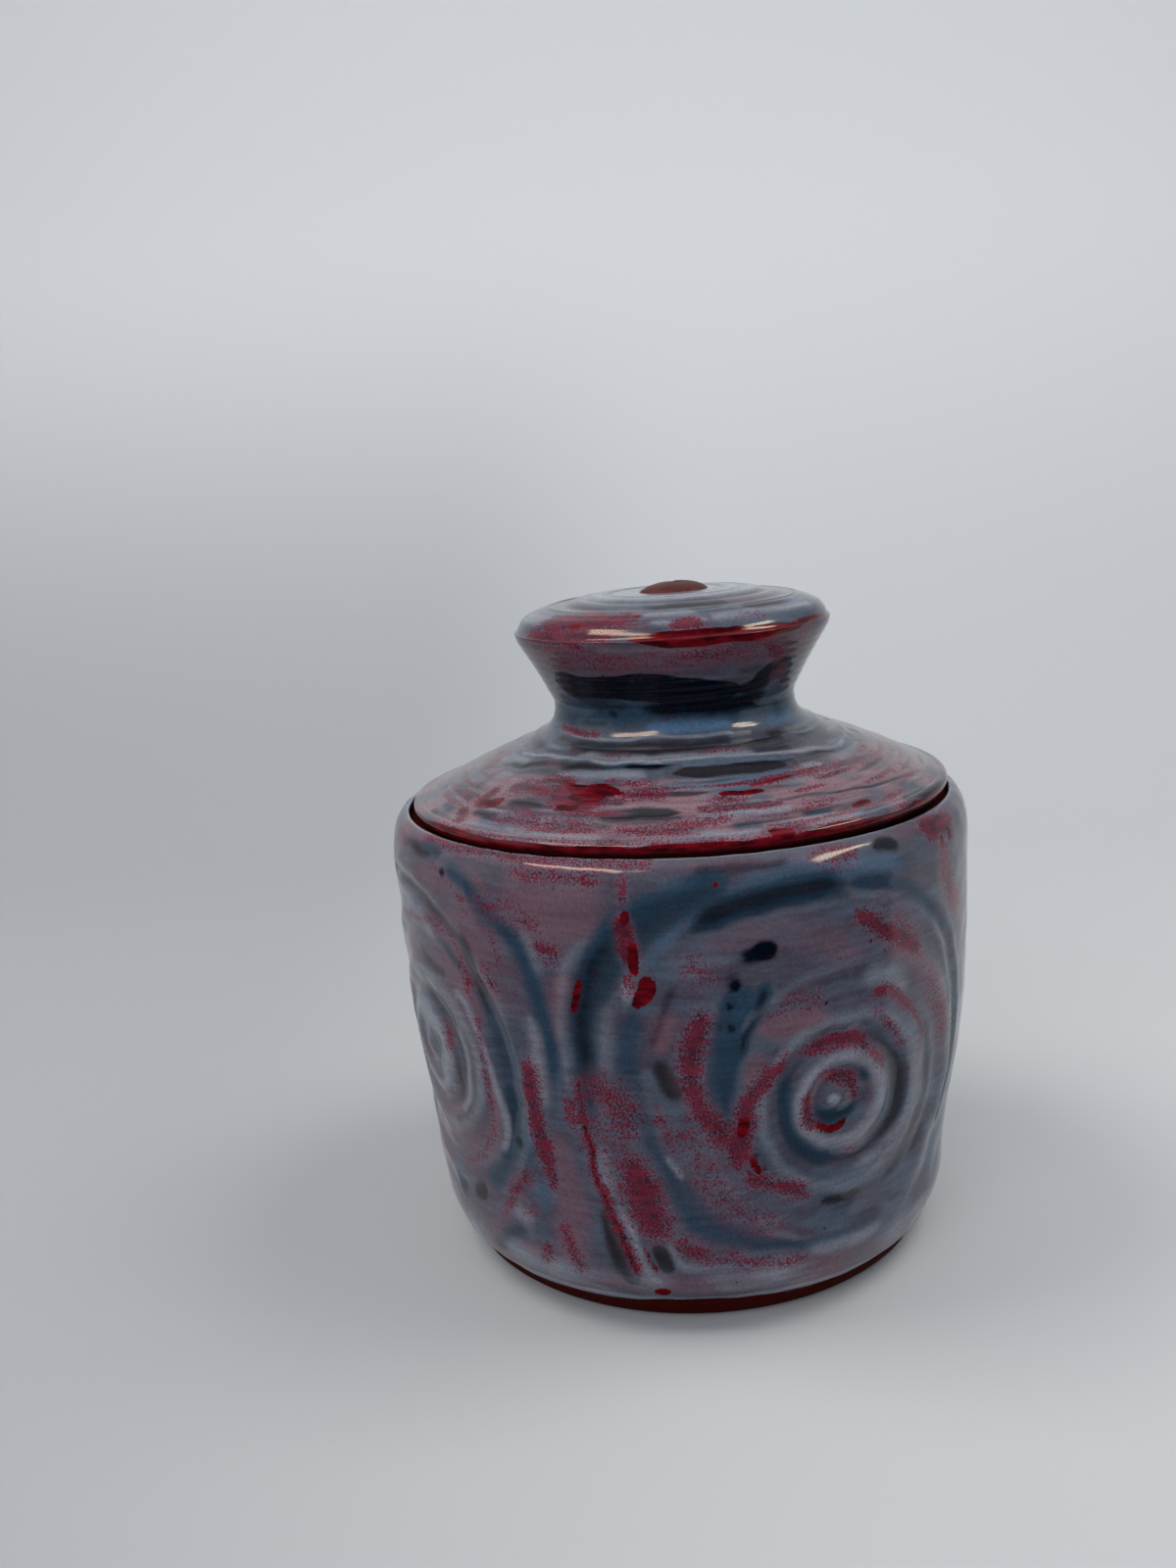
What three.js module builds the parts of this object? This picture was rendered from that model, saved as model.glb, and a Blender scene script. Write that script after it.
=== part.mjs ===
// Hand-thrown clay cookie jar with a lift-off lid that sits in a gallery inside the rim.
// Millimetres, +Z up. The origin is the middle of the foot, on the table.
import * as THREE from "three";

// How finely the turned forms are faceted.
const sides = 48;
const wallSteps = 8;
const bendSteps = 5;
const edgeSteps = 3;

// Foot and wall of the jar. Heights are above the table.
const footRadius = 64.5;
const footRingWidth = 9;
const footRecess = 2.5;
const bareBevelWidth = 7.7;
const bareBevelHeight = 8.3;
const heelRadius = 76.9;
const heelHeight = 19;
const heelBulge = 1.6;
const bellyRadius = 85.3;
const bellyTurnHeight = 75;
const wallThickness = 6.5;
const floorThickness = 8;
const floorCorner = 12;

// Rim of the jar. The lip rolls over from the wall, and the lid sits on a ledge inside it.
const rimHeight = 136;
const bellyBelowRim = 30;
const lipRollHeight = 12;
const lipWidth = 5.2;
const lipInnerRound = 0.9;
const mouthRadius = 79.9;
const galleryDepth = 3;
const ledgeWidth = 4.9;
const ledgeThickness = 9;

// Lid. Heights are above the ledge that carries it.
const lidPlay = 0.8;
const lidEdgeHeight = 4.2;
const lidEdgeRound = 1.6;
const lidShoulderWidth = 2.6;
const lidShoulderRise = 2.2;
const domeRise = 22.4;
const domeTurnRadius = 66;
const domeTurnHeight = 13;
const lidThickness = 6;
const flangePlay = 1.2;
const flangeThickness = 4.5;
const flangeDepth = 9;

// Hollow knob. Heights are above its seat on top of the lid.
const knobFootRadius = 41.2;
const neckRadius = 35.5;
const neckHeight = 7.5;
const neckTurnHeight = 2;
const flareRadius = 47.1;
const flareHeight = 29.9;
const flareTurnHeight = 12;
const flareEdgeRound = 1.3;
const plateRadius = 36.5;
const plateHeight = 38.2;
const bevelBulge = 0.7;
const knobWall = 6;

// Clay button in the middle of the knob's top.
const buttonRadius = 11.7;
const buttonHeight = 3.7;

// What follows from the sizes above.
const ledgeHeight = rimHeight - galleryDepth;
const bellyHeight = rimHeight - bellyBelowRim;
const shoulderHeight = rimHeight - lipRollHeight;
const throatRadius = mouthRadius - ledgeWidth;
const glazeLineRadius = footRadius + bareBevelWidth;
const floorHeight = footRecess + floorThickness;
const lidEdgeRadius = mouthRadius - lidPlay;
const flangeRadius = throatRadius - flangePlay;
const flangeBore = flangeRadius - flangeThickness;
const knobBore = neckRadius - knobWall;

const at = (radius, height) => new THREE.Vector2(radius, height);

// A bend that heads for its corner from one end and comes away from it at the other.
function bend(from, corner, to, steps = bendSteps) {
  return new THREE.QuadraticBezierCurve(from, corner, to).getPoints(steps);
}

// A shallow bow that stands off the straight line from one point to the other.
function bow(from, to, bulge, steps = edgeSteps) {
  const across = to.clone().sub(from).normalize();
  const middle = from.clone().add(to).multiplyScalar(0.5);
  return bend(from, middle.add(at(across.y, -across.x).multiplyScalar(2 * bulge)), to, steps);
}

// The points of an outline, set in by the thickness of the clay at right angles to it.
function setIn(points, thickness) {
  return points.map((point, i) => {
    const before = points[Math.max(i - 1, 0)];
    const after = points[Math.min(i + 1, points.length - 1)];
    const along = after.clone().sub(before).normalize();
    return at(point.x - along.y * thickness, point.y + along.x * thickness);
  });
}

// A solid turned about +Z. Its outline runs outwards below, up the outside and back down inside.
function turned(outline) {
  const points = outline.filter((point, i) => i === 0 || point.distanceTo(outline[i - 1]) > 0.01);
  return new THREE.LatheGeometry(points, sides).rotateX(Math.PI / 2);
}

// Thrown jar: trimmed foot ring, bare bevel, swelling wall, rolled lip, gallery and throat.
function jarGeometry() {
  const glazeLine = at(glazeLineRadius, bareBevelHeight);
  const heel = at(heelRadius, heelHeight);
  const belly = at(bellyRadius, bellyHeight);
  const wall = bend(heel, at(bellyRadius, bellyTurnHeight), belly, wallSteps);
  const inside = setIn(wall, wallThickness).filter((point) => point.y > floorHeight + floorCorner);
  const top = inside[inside.length - 1];
  const bottom = inside[0];
  const lipTop = at(mouthRadius + lipInnerRound, rimHeight);
  const lipRoll = new THREE.EllipseCurve(
    lipTop.x, shoulderHeight, lipWidth - lipInnerRound, lipRollHeight, 0, Math.PI / 2,
  );
  const throat = at(throatRadius, ledgeHeight - ledgeThickness);
  return turned([
    at(0, footRecess),
    at(footRadius - footRingWidth - footRecess, footRecess),
    at(footRadius - footRingWidth, 0),
    at(footRadius, 0),
    ...bow(at(footRadius, 0), glazeLine, bareBevelWidth / 6),
    ...bow(glazeLine, heel, heelBulge / 2),
    ...wall,
    ...lipRoll.getPoints(bendSteps),
    ...bend(lipTop, at(mouthRadius, rimHeight), at(mouthRadius, rimHeight - lipInnerRound), edgeSteps),
    at(mouthRadius, ledgeHeight),
    at(throatRadius, ledgeHeight),
    ...bend(throat, at(top.x, throat.y), top),
    ...inside.reverse(),
    ...bend(bottom, at(bottom.x, floorHeight), at(bottom.x - floorCorner, floorHeight)),
    at(0, floorHeight),
  ]);
}

// Thrown lid: rounded edge on the ledge, domed top, flange down the throat, hole under the knob.
function lidGeometry() {
  const widest = at(lidEdgeRadius, lidEdgeHeight);
  const shoulder = at(lidEdgeRadius - lidShoulderWidth, lidEdgeHeight + lidShoulderRise);
  const seatEdge = at(knobFootRadius, domeRise);
  const dome = bend(shoulder, at(domeTurnRadius, domeTurnHeight), seatEdge, wallSteps);
  const under = setIn(dome, lidThickness).filter((point) => point.x < flangeBore && point.x > knobBore);
  const flangeRoot = at(flangeBore, under[0].y - lidThickness / 2);
  return turned([
    at(flangeBore, -flangeDepth),
    at(flangeRadius, -flangeDepth),
    at(flangeRadius, 0),
    at(lidEdgeRadius - lidEdgeRound, 0),
    ...bend(at(lidEdgeRadius - lidEdgeRound, 0), at(lidEdgeRadius, 0), widest, edgeSteps),
    ...bend(widest, at(lidEdgeRadius, shoulder.y), shoulder, edgeSteps),
    ...dome,
    at(knobBore, domeRise),
    at(knobBore, domeRise - lidThickness),
    ...under.reverse(),
    flangeRoot,
    at(flangeBore, -flangeDepth),
  ]);
}

// Thrown hollow knob: waisted neck, wide flare, bevel and flat top plate, open below.
function knobGeometry() {
  const neck = at(neckRadius, neckHeight);
  const flare = at(flareRadius, flareHeight);
  const bevelFoot = at(flareRadius - flareEdgeRound / 2, flareHeight + flareEdgeRound);
  const plateEdge = at(plateRadius, plateHeight);
  const stem = [
    ...bend(at(knobFootRadius, 0), at(neckRadius, neckTurnHeight), neck),
    ...bend(neck, at(neckRadius, flareTurnHeight), flare, wallSteps).slice(1),
  ];
  const roof = plateHeight - knobWall;
  const inside = setIn(stem, knobWall).filter((point) => point.y > neckHeight && point.y < roof);
  const top = inside[inside.length - 1];
  return turned([
    at(0, roof),
    ...bend(at(plateRadius - knobWall, roof), at(top.x, roof), top),
    ...inside.reverse(),
    at(knobBore, neckHeight),
    at(knobBore, 0),
    ...stem,
    ...bend(flare, at(flareRadius, bevelFoot.y), bevelFoot, edgeSteps),
    ...bow(bevelFoot, plateEdge, bevelBulge),
    at(0, plateHeight),
  ]);
}

// Low round button of bare clay.
function buttonGeometry() {
  const rim = at(buttonRadius, 0);
  return turned([at(0, 0), rim, ...bend(rim, at(buttonRadius * 0.8, buttonHeight), at(0, buttonHeight))]);
}

function piece(name, geometry, color, roughness) {
  const material = new THREE.MeshStandardMaterial({ color, roughness, metalness: 0 });
  const mesh = new THREE.Mesh(geometry, material);
  mesh.name = name;
  return mesh;
}

const jar = piece("jar_body", jarGeometry(), 0x8d8798, 0.18);

const lid = piece("lid", lidGeometry(), 0x8a7483, 0.18);
lid.position.z = ledgeHeight;

const knob = piece("lid_knob", knobGeometry(), 0x7d7c8d, 0.18);
knob.position.z = domeRise;
lid.add(knob);

const button = piece("knob_button", buttonGeometry(), 0x7a3a33, 0.6);
button.position.z = plateHeight;
knob.add(button);

const cookieJar = new THREE.Group();
cookieJar.add(jar, lid);

export default cookieJar;
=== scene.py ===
"""A hand-thrown cookie jar: glazed jar, domed lid and hollow knob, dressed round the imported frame.

Every piece is turned clay, so each is a grid of rows along its outline and columns round its axis.
Finger grooves, throwing lines and the rolled glaze edge move the grid along its normals.
Where each glaze lies is painted on the grid as attributes, and the material breaks their edges up.
"""
import math

import bpy
import numpy as np
from mathutils import Matrix, Vector


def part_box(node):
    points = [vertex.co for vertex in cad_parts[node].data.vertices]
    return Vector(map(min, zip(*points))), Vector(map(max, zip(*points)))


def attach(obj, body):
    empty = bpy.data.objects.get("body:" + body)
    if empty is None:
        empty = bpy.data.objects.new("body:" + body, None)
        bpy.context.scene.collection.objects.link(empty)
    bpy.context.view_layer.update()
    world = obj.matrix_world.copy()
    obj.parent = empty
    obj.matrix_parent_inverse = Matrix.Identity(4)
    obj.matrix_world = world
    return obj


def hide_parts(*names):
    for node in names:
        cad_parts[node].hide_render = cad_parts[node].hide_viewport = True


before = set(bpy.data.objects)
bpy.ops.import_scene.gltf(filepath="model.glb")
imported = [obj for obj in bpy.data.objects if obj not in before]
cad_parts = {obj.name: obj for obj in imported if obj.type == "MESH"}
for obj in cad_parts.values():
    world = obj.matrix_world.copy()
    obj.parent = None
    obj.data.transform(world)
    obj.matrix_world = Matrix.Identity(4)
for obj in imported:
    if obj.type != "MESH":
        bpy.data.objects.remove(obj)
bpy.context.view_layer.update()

MM = 0.001

# The photograph's frame in pixels, and the camera in metres and degrees.
FRAME_LONG_SIDE = 1600
FOCAL_LENGTH_PIXELS = 1485.7
SENSOR_LONG_SIDE = 36.0
CLIP_START = 0.01
CAMERA_PLACE = (0.0, -0.42964, 0.23100)
CAMERA_YAW = 3.4938
CAMERA_PITCH = -12.2165
CAMERA_ROLL = 3.4189


def added(name, data):
    """A new object with its data, in the scene."""
    made = bpy.data.objects.new(name, data)
    bpy.context.scene.collection.objects.link(made)
    return made


def make_camera():
    """The camera looks along +Y, then rolls about Y, pitches about X and yaws about Z."""
    data = bpy.data.cameras.new("photo_camera")
    data.sensor_width = SENSOR_LONG_SIDE
    data.lens = FOCAL_LENGTH_PIXELS * SENSOR_LONG_SIDE / FRAME_LONG_SIDE
    data.clip_start = CLIP_START
    camera = added("photo_camera", data)
    turns = ((CAMERA_YAW, "Z"), (CAMERA_PITCH, "X"), (CAMERA_ROLL, "Y"), (90, "X"))
    placed = Matrix.Translation(CAMERA_PLACE)
    for angle, axis in turns:
        placed = placed @ Matrix.Rotation(math.radians(angle), 4, axis)
    camera.matrix_world = placed
    bpy.context.scene.camera = camera


make_camera()


# Sizes of the turned forms in millimetres, from the frame where it gives them.
def turned_size(node):
    """Radius, bottom and top of a turned CAD node."""
    low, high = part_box(node)
    return high.x / MM, low.z / MM, high.z / MM


BELLY_RADIUS, _, RIM_HEIGHT = turned_size("jar_body")
LID_RADIUS, FLANGE_BOTTOM, SEAT_HEIGHT = turned_size("lid")
FLARE_RADIUS, _, PLATE_HEIGHT = turned_size("lid_knob")
BUTTON_RADIUS, _, BUTTON_TOP = turned_size("knob_button")

FOOT_RADIUS, FOOT_RING, FOOT_RECESS = 64.5, 9.0, 2.5
GLAZE_LINE_RADIUS, GLAZE_LINE = 72.2, 8.3
HEEL_RADIUS, HEEL_HEIGHT, HEEL_BOW = 76.9, 19.0, 0.8
BELLY_TURN, BELLY_BELOW_RIM = 75.0, 30.0
WALL, FLOOR_TOP, FLOOR_CORNER = 6.5, 10.5, 12.0
LIP_ROLL, LIP_DROP, LIP_ROUND = 12.0, 0.8, 0.4
LID_PLAY, GALLERY_DEPTH, LEDGE_WIDTH, LEDGE_THICKNESS = 0.8, 3.0, 4.9, 9.0
LID_EDGE_HEIGHT, LID_UNDERCUT = 4.2, 3.4
LID_SHOULDER_WIDTH, LID_SHOULDER_RISE = 2.6, 2.2
DOME_TURN_RADIUS, DOME_TURN_HEIGHT, LID_THICKNESS = 66.0, 13.0, 6.0
FLANGE_PLAY, FLANGE_THICKNESS = 1.2, 4.5
KNOB_FOOT_RADIUS, NECK_RADIUS, NECK_HEIGHT, NECK_TURN = 41.2, 35.5, 7.5, 2.0
FLARE_HEIGHT, FLARE_TURN, FLARE_ROUND = 29.9, 12.0, 1.3
PLATE_RADIUS, BEVEL_BOW, KNOB_WALL = 36.5, 0.7, 6.0

MOUTH_RADIUS = LID_RADIUS + LID_PLAY
LEDGE_HEIGHT = RIM_HEIGHT - GALLERY_DEPTH
THROAT_RADIUS = MOUTH_RADIUS - LEDGE_WIDTH
BELLY_HEIGHT = RIM_HEIGHT - BELLY_BELOW_RIM
SHOULDER_HEIGHT = RIM_HEIGHT - LIP_ROLL
FLANGE_RADIUS = THROAT_RADIUS - FLANGE_PLAY
FLANGE_BORE = FLANGE_RADIUS - FLANGE_THICKNESS
KNOB_BORE = NECK_RADIUS - KNOB_WALL

# The real lid sits a little to the right in its gallery and leans, and its button is smaller and
# off the middle: mm, radians, mm and times.
LID_SHIFT, LID_LEAN, BUTTON_SHIFT, BUTTON_SCALE = 0.6, 0.0105, 1.1, 0.92

# Grids: columns round the axis, and rows in mm. A piece stays under 200,000 triangles.
JAR_COLUMNS, LID_COLUMNS, KNOB_COLUMNS, BUTTON_COLUMNS = 488, 600, 400, 120
JAR_ROW, LID_ROW, KNOB_ROW, PLATE_ROW, BUTTON_ROW = 1.15, 0.62, 0.62, 0.75, 0.4
CORNER_ROW = 0.18
SAME_ROW = 0.02
CURVE_POINTS = 60


# Outlines: points (radius, height) that run outwards below, up the outside and down the inside.
def line(*points):
    """Straight pieces from point to point."""
    return np.array(points, float)


def bend(start, corner, end, steps=CURVE_POINTS):
    """Quadratic curve (1-t)^2 start + 2t(1-t) corner + t^2 end, which heads for the corner."""
    t = np.linspace(0, 1, steps)[:, None]
    start, corner, end = (np.array(point, float) for point in (start, corner, end))
    return (1 - t) ** 2 * start + 2 * t * (1 - t) * corner + t**2 * end


def bow(start, end, bulge):
    """Shallow curve whose middle stands bulge off the straight line, on its right-hand side."""
    start, end = np.array(start, float), np.array(end, float)
    across = (end - start) / np.linalg.norm(end - start)
    middle = (start + end) / 2 + 2 * bulge * np.array([across[1], -across[0]])
    return bend(start, middle, end)


def set_in(points, thickness):
    """The same line moved in by the clay's thickness, at right angles to itself."""
    along = np.gradient(points, axis=0)
    along /= np.linalg.norm(along, axis=1, keepdims=True)
    return points + thickness * np.column_stack([-along[:, 1], along[:, 0]])


def length_along(points):
    """Distance from the first point to each point, along the line."""
    return np.concatenate([[0], np.cumsum(np.linalg.norm(np.diff(points, axis=0), axis=1))])


def rows_of(*runs):
    """Rows for an outline made of runs: each is its points and the mm between its rows. Where those are
    far apart, one more row stands close to each end, so that the corner stays crisp."""
    rows = []
    for points, spacing in runs:
        s = length_along(points)
        count = max(1, round(s[-1] / spacing))
        stops = np.linspace(0, s[-1], count + 1)
        if spacing > 2 * CORNER_ROW and s[-1] > 4 * CORNER_ROW:
            stops = np.sort(np.append(stops, [CORNER_ROW, s[-1] - CORNER_ROW]))
        rows.append(np.column_stack([np.interp(stops, s, points[:, i]) for i in (0, 1)]))
    joined = np.concatenate(rows)
    fresh = np.linalg.norm(np.diff(joined, axis=0), axis=1) > SAME_ROW
    return joined[np.concatenate([[True], fresh])]


class Turned:
    """A turned grid: rows along an outline, columns round +Z from the front (-Y) towards +X."""

    def __init__(self, rows, columns, loop=False):
        """A loop's last row is its first again. The normal is the outline's direction turned outwards."""
        self.loop = loop
        self.capped = not loop
        if loop:
            rows = rows[:-1]
        around = np.roll(rows, -1, 0) - np.roll(rows, 1, 0)
        if not loop:
            around[0], around[-1] = rows[1] - rows[0], rows[-1] - rows[-2]
        around /= np.linalg.norm(around, axis=1, keepdims=True)
        turn = np.linspace(-math.pi, math.pi, columns, endpoint=False)
        self.turn, self.radius = np.meshgrid(turn, rows[:, 0])
        self.height = np.repeat(rows[:, 1:2], columns, 1)
        self.out = np.repeat(around[:, 1:2], columns, 1)
        self.up = np.repeat(-around[:, 0:1], columns, 1)
        self.degrees = np.degrees(self.turn)
        self.along = np.repeat(length_along(rows)[:, None], columns, 1)
        self.lift = np.zeros_like(self.radius)
        self.marks = {}

    def mark(self, layer, amount):
        """Lays an amount, 0 to 1 or a little over, of a glaze where it is more than what is there."""
        there = self.marks.get(layer, np.zeros_like(self.radius))
        self.marks[layer] = np.maximum(there, amount)

    def mesh(self, name, shift=0.0, lean=0.0, side=0.0):
        """Points (R sin a, -R cos a, Z) with R and Z moved along the normal by the lift. Above the ledge
        they move over by the shift and turn by the lean, a small angle, towards +X; side is added to X."""
        radius = self.radius + self.lift * self.out
        height = self.height + self.lift * self.up
        x = radius * np.sin(self.turn)
        free = step(height, LEDGE_HEIGHT, LEDGE_HEIGHT + GALLERY_DEPTH)
        moved = x + side + free * (shift + lean * (height - LEDGE_HEIGHT))
        grid = np.stack([moved, -radius * np.cos(self.turn), height + free * lean * x], -1)
        rows, columns = radius.shape
        index = np.arange(rows * columns).reshape(rows, columns)
        ring = np.roll(index, -1, 1)
        last = rows if self.loop else rows - 1
        above, above_ring = np.roll(index, -1, 0)[:last], np.roll(ring, -1, 0)[:last]
        quads = np.stack([index[:last], ring[:last], above_ring, above], -1).reshape(-1, 4)
        points = grid.reshape(-1, 3)
        fans = np.zeros((0, 3), int)
        if self.capped:
            points, quads, fans = self.close_poles(points, quads, index)
        return filled_mesh(name, points * MM, quads, fans)

    @staticmethod
    def close_poles(points, quads, index):
        """The first and last rows lie on the axis: each becomes one point with a fan of triangles."""
        rows, columns = index.shape
        inner = quads[columns:-columns] - columns
        ends = np.stack([points[:columns].mean(0), points[-columns:].mean(0)])
        points = points[columns:-columns]
        bottom, top = len(points), len(points) + 1
        first, last = np.arange(columns), np.arange(columns) + (rows - 3) * columns
        below = np.stack([np.full(columns, bottom), np.roll(first, -1), first], -1)
        over = np.stack([np.full(columns, top), last, np.roll(last, -1)], -1)
        return np.concatenate([points, ends]), inner, np.concatenate([below, over])

    def in_order(self, amount):
        """Amounts on the grid, in the order of the mesh's points."""
        if self.capped:
            return np.concatenate([amount[1:-1].ravel(), [amount[0].mean(), amount[-1].mean()]])
        return amount.ravel()

    def values(self, layer):
        """How much of a glaze lies at each of the mesh's points."""
        return self.in_order(self.marks.get(layer, np.zeros_like(self.radius)))

    def flow(self):
        """Places in metres on a plain cylinder as tall as the outline is long, so that a pattern that is
        stretched across runs round the piece on its flat parts too."""
        radius = self.radius.max() * MM
        parts = (radius * np.sin(self.turn), -radius * np.cos(self.turn), self.along * MM)
        return np.stack([self.in_order(part) for part in parts], -1)


def filled_mesh(name, points, quads, fans):
    """A mesh from arrays of points, four-cornered faces and three-cornered faces."""
    mesh = bpy.data.meshes.new(name)
    corners = np.concatenate([quads.ravel(), fans.ravel()]).astype(np.int32)
    starts = np.concatenate([np.arange(len(quads)) * 4, len(quads) * 4 + np.arange(len(fans)) * 3])
    mesh.vertices.add(len(points))
    mesh.vertices.foreach_set("co", points.astype(np.float32).ravel())
    mesh.loops.add(len(corners))
    mesh.loops.foreach_set("vertex_index", corners)
    mesh.polygons.add(len(starts))
    mesh.polygons.foreach_set("loop_start", starts.astype(np.int32))
    mesh.update(calc_edges=True)
    mesh.validate()
    mesh.shade_smooth()
    return mesh


# Curves that lay glaze and carve.
def step(value, low, high):
    """0 below low, 1 above high, and a smooth rise between."""
    t = np.clip((value - low) / (high - low), 0, 1)
    return t * t * (3 - 2 * t)


def bump(value, centre, width):
    """Bell curve of a given half width."""
    return np.exp(-(((value - centre) / width) ** 2))


def eased(value, stops, amounts):
    """Smooth steps from amount to amount between the stops."""
    total = np.full_like(value, amounts[0])
    for low, high, before, after in zip(stops[:-1], stops[1:], amounts[:-1], amounts[1:]):
        total += (after - before) * step(value, low, high)
    return total


def thread(turn, up, pitch):
    """Throwing lines, -1 to 1: a sine that rises by its pitch in one turn to the right."""
    return np.sin(2 * math.pi * (up - pitch * turn / (2 * math.pi)) / pitch)


def waves(turn, up, seed, longest, shortest, radius=80.0, count=26):
    """Smooth unevenness of about -1 to 1: sines of random slant with whole turns round the axis, their
    lengths in mm at the given radius."""
    rng = np.random.default_rng(seed)
    total = np.zeros_like(turn)
    for _ in range(count):
        length = math.exp(rng.uniform(math.log(shortest), math.log(longest)))
        slant, phase = rng.uniform(0, math.pi), rng.uniform(0, 2 * math.pi)
        turns = round(math.cos(slant) * 2 * math.pi * radius / length)
        total += np.sin(turns * turn + math.sin(slant) * 2 * math.pi / length * up + phase)
    return total * math.sqrt(2 / count)


def read_strokes(text):
    """Strokes, one a line: layer, soft edge in mm, strength, then points apart by commas. A point is
    its degrees, its mm up the surface and its half width in mm, which may be left out if unchanged.
    A row that starts with spaces goes on with the stroke above it."""
    strokes = []
    for row in text.replace("\n    ", " ").strip().splitlines():
        layer, soft, strength, rest = row.split(None, 3)
        points, width = [], 1.0
        for point in rest.split(","):
            numbers = [float(number) for number in point.split()]
            width = numbers[2] if len(numbers) > 2 else width
            points.append((numbers[0], numbers[1], width))
        strokes.append((layer, float(soft), float(strength), points))
    return strokes


def smooth_path(points, steps=5):
    """Catmull-Rom curve through the points, with the half width as a third coordinate."""
    p = np.array(points, float)
    p = np.concatenate([[2 * p[0] - p[1]], p, [2 * p[-1] - p[-2]]])
    a, b, c, d = p[:-3, None], p[1:-2, None], p[2:-1, None], p[3:, None]
    t = np.linspace(0, 1, steps, endpoint=False)[None, :, None]
    curve = b + t * (c - a) / 2 + t**2 * (a - 2.5 * b + 2 * c - d / 2) + t**3 * (1.5 * (b - c) + (d - a) / 2)
    return np.concatenate([curve.reshape(-1, 3), p[-2:-1]])


# How much wider, softer and stronger each glaze ran in the kiln than its stroke: mm, times and times.
RAN = {"crimson": (0.25, 1.8, 0.92), "pale": (0.0, 1.2, 1.0), "pink": (0.2, 1.2, 0.9),
       "blue": (-0.1, 1.3, 0.9), "teal": (0.1, 1.3, 1.0), "olive": (0.1, 1.4, 1.0),
       "ink": (0.1, 1.7, 0.95), "red": (0.1, 1.1, 1.0)}

# A stroke fades out over a fifth of its length, or over these mm if that is less. Its edge fades
# outside and inside its line by these shares of its softness. A groove has lips that stand up by a
# share of its depth. Points further off than NEAR_BY mm are left alone, as if FAR_OFF.
FADE_PART, FADE_LONGEST = 5, 6.0
EDGE_OUTSIDE, EDGE_INSIDE = 0.6, 0.4
LIP_SHARE = 0.3
NEAR_BY, FAR_OFF = 8.0, 99.0


def tapered(path, soft):
    """Draws a stroke's half width in towards both its ends, so that it fades out there. What is left of
    the width is the 0.6th power of how far along the fade a point is."""
    along = length_along(path[:, :2])
    fade = min(along[-1] / FADE_PART, 2 * path[:, 2].max(), FADE_LONGEST)
    left = np.clip(np.minimum(along, along[-1] - along) / max(fade, 0.01), 0, 1) ** 0.6
    path[:, 2] = path[:, 2] * left - EDGE_INSIDE * soft * (1 - left)
    return path


def outside(path, x, y):
    """Distance in mm from a stroke's edge: below 0 inside it. Only near points are worked out."""
    result = np.full(x.shape, FAR_OFF)
    reach = path[:, 2].max() + NEAR_BY
    low, high = path[:, :2].min(0) - reach, path[:, :2].max(0) + reach
    near = (x > low[0]) & (x < high[0]) & (y > low[1]) & (y < high[1])
    px, py = x[near], y[near]
    best = np.full(px.shape, FAR_OFF)
    for (ax, ay, aw), (bx, by, bw) in zip(path[:-1], path[1:]):
        length = max((bx - ax) ** 2 + (by - ay) ** 2, 1e-9)
        t = np.clip(((px - ax) * (bx - ax) + (py - ay) * (by - ay)) / length, 0, 1)
        away = np.hypot(px - ax - t * (bx - ax), py - ay - t * (by - ay))
        best = np.minimum(best, away - aw - t * (bw - aw))
    result[near] = best
    return result


def paint(grid, strokes, x, y, scale, shift=0.0):
    """Lays strokes of glaze, and carves those whose layer is groove: a finger's hollow as deep as its
    strength, with a low lip pushed up on both sides. A groove of negative strength is a ridge.
    scale is the mm that one degree spans, and shift turns the strokes round."""
    for layer, soft, strength, points in strokes:
        path = smooth_path([(a + shift, b, w) for a, b, w in points])
        middle = path[:, 0].mean()
        degrees = (x - middle + 180) % 360 - 180 + middle
        path[:, 0] *= scale
        if layer == "groove":
            edge = outside(path, degrees * scale, y)
            grid.lift -= strength * step(-edge, -soft, path[:, 2].mean())
            grid.lift += LIP_SHARE * strength * bump(edge, soft, soft)
        else:
            wider, softer, stronger = RAN[layer]
            path[:, 2] += wider
            edge = outside(tapered(path, soft), degrees * scale, y)
            soft *= softer
            grid.mark(layer, strength * stronger * step(-edge, -EDGE_OUTSIDE * soft, EDGE_INSIDE * soft))


# Carved swirls.
def swirl_distance(degrees, up, centre, height, scale, lean, reach):
    """Distance from a swirl's middle in mm, divided by 0.95 + reach ((1 + cos(angle - lean)) / 2)^2, so
    that its rings are egg-shaped and reach further out on the side it leans to."""
    x = ((degrees - centre + 180) % 360 - 180) * scale
    y = up - height
    egg = 0.95 + reach * ((1 + np.cos(np.arctan2(y, x) - math.radians(lean))) / 2) ** 2
    return np.hypot(x, y) / egg


# The mm that one degree spans, at a usual radius of each piece, and how far a brush or a finger strays
# there from its line: degrees and mm.
WALL_SCALE, WALL_STRAY = math.radians(1) * 84.0, (0.13, 0.22)
LID_SCALE, LID_STRAY = math.radians(1) * 62.0, (0.2, 0.22)
KNOB_SCALE, KNOB_STRAY = math.radians(1) * 42.0, (0.25, 0.2)

# A swirl: middle in degrees and mm, the side its egg leans to, how far it reaches, and its weight.
SWIRLS = ((27.1, 67.3, -30, 0.42, 1.0), (-63.0, 72.0, 10, 0.35, 0.9),
          (117.0, 70.0, -20, 0.38, 1.0), (-153.0, 66.0, 20, 0.36, 1.0))
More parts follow.
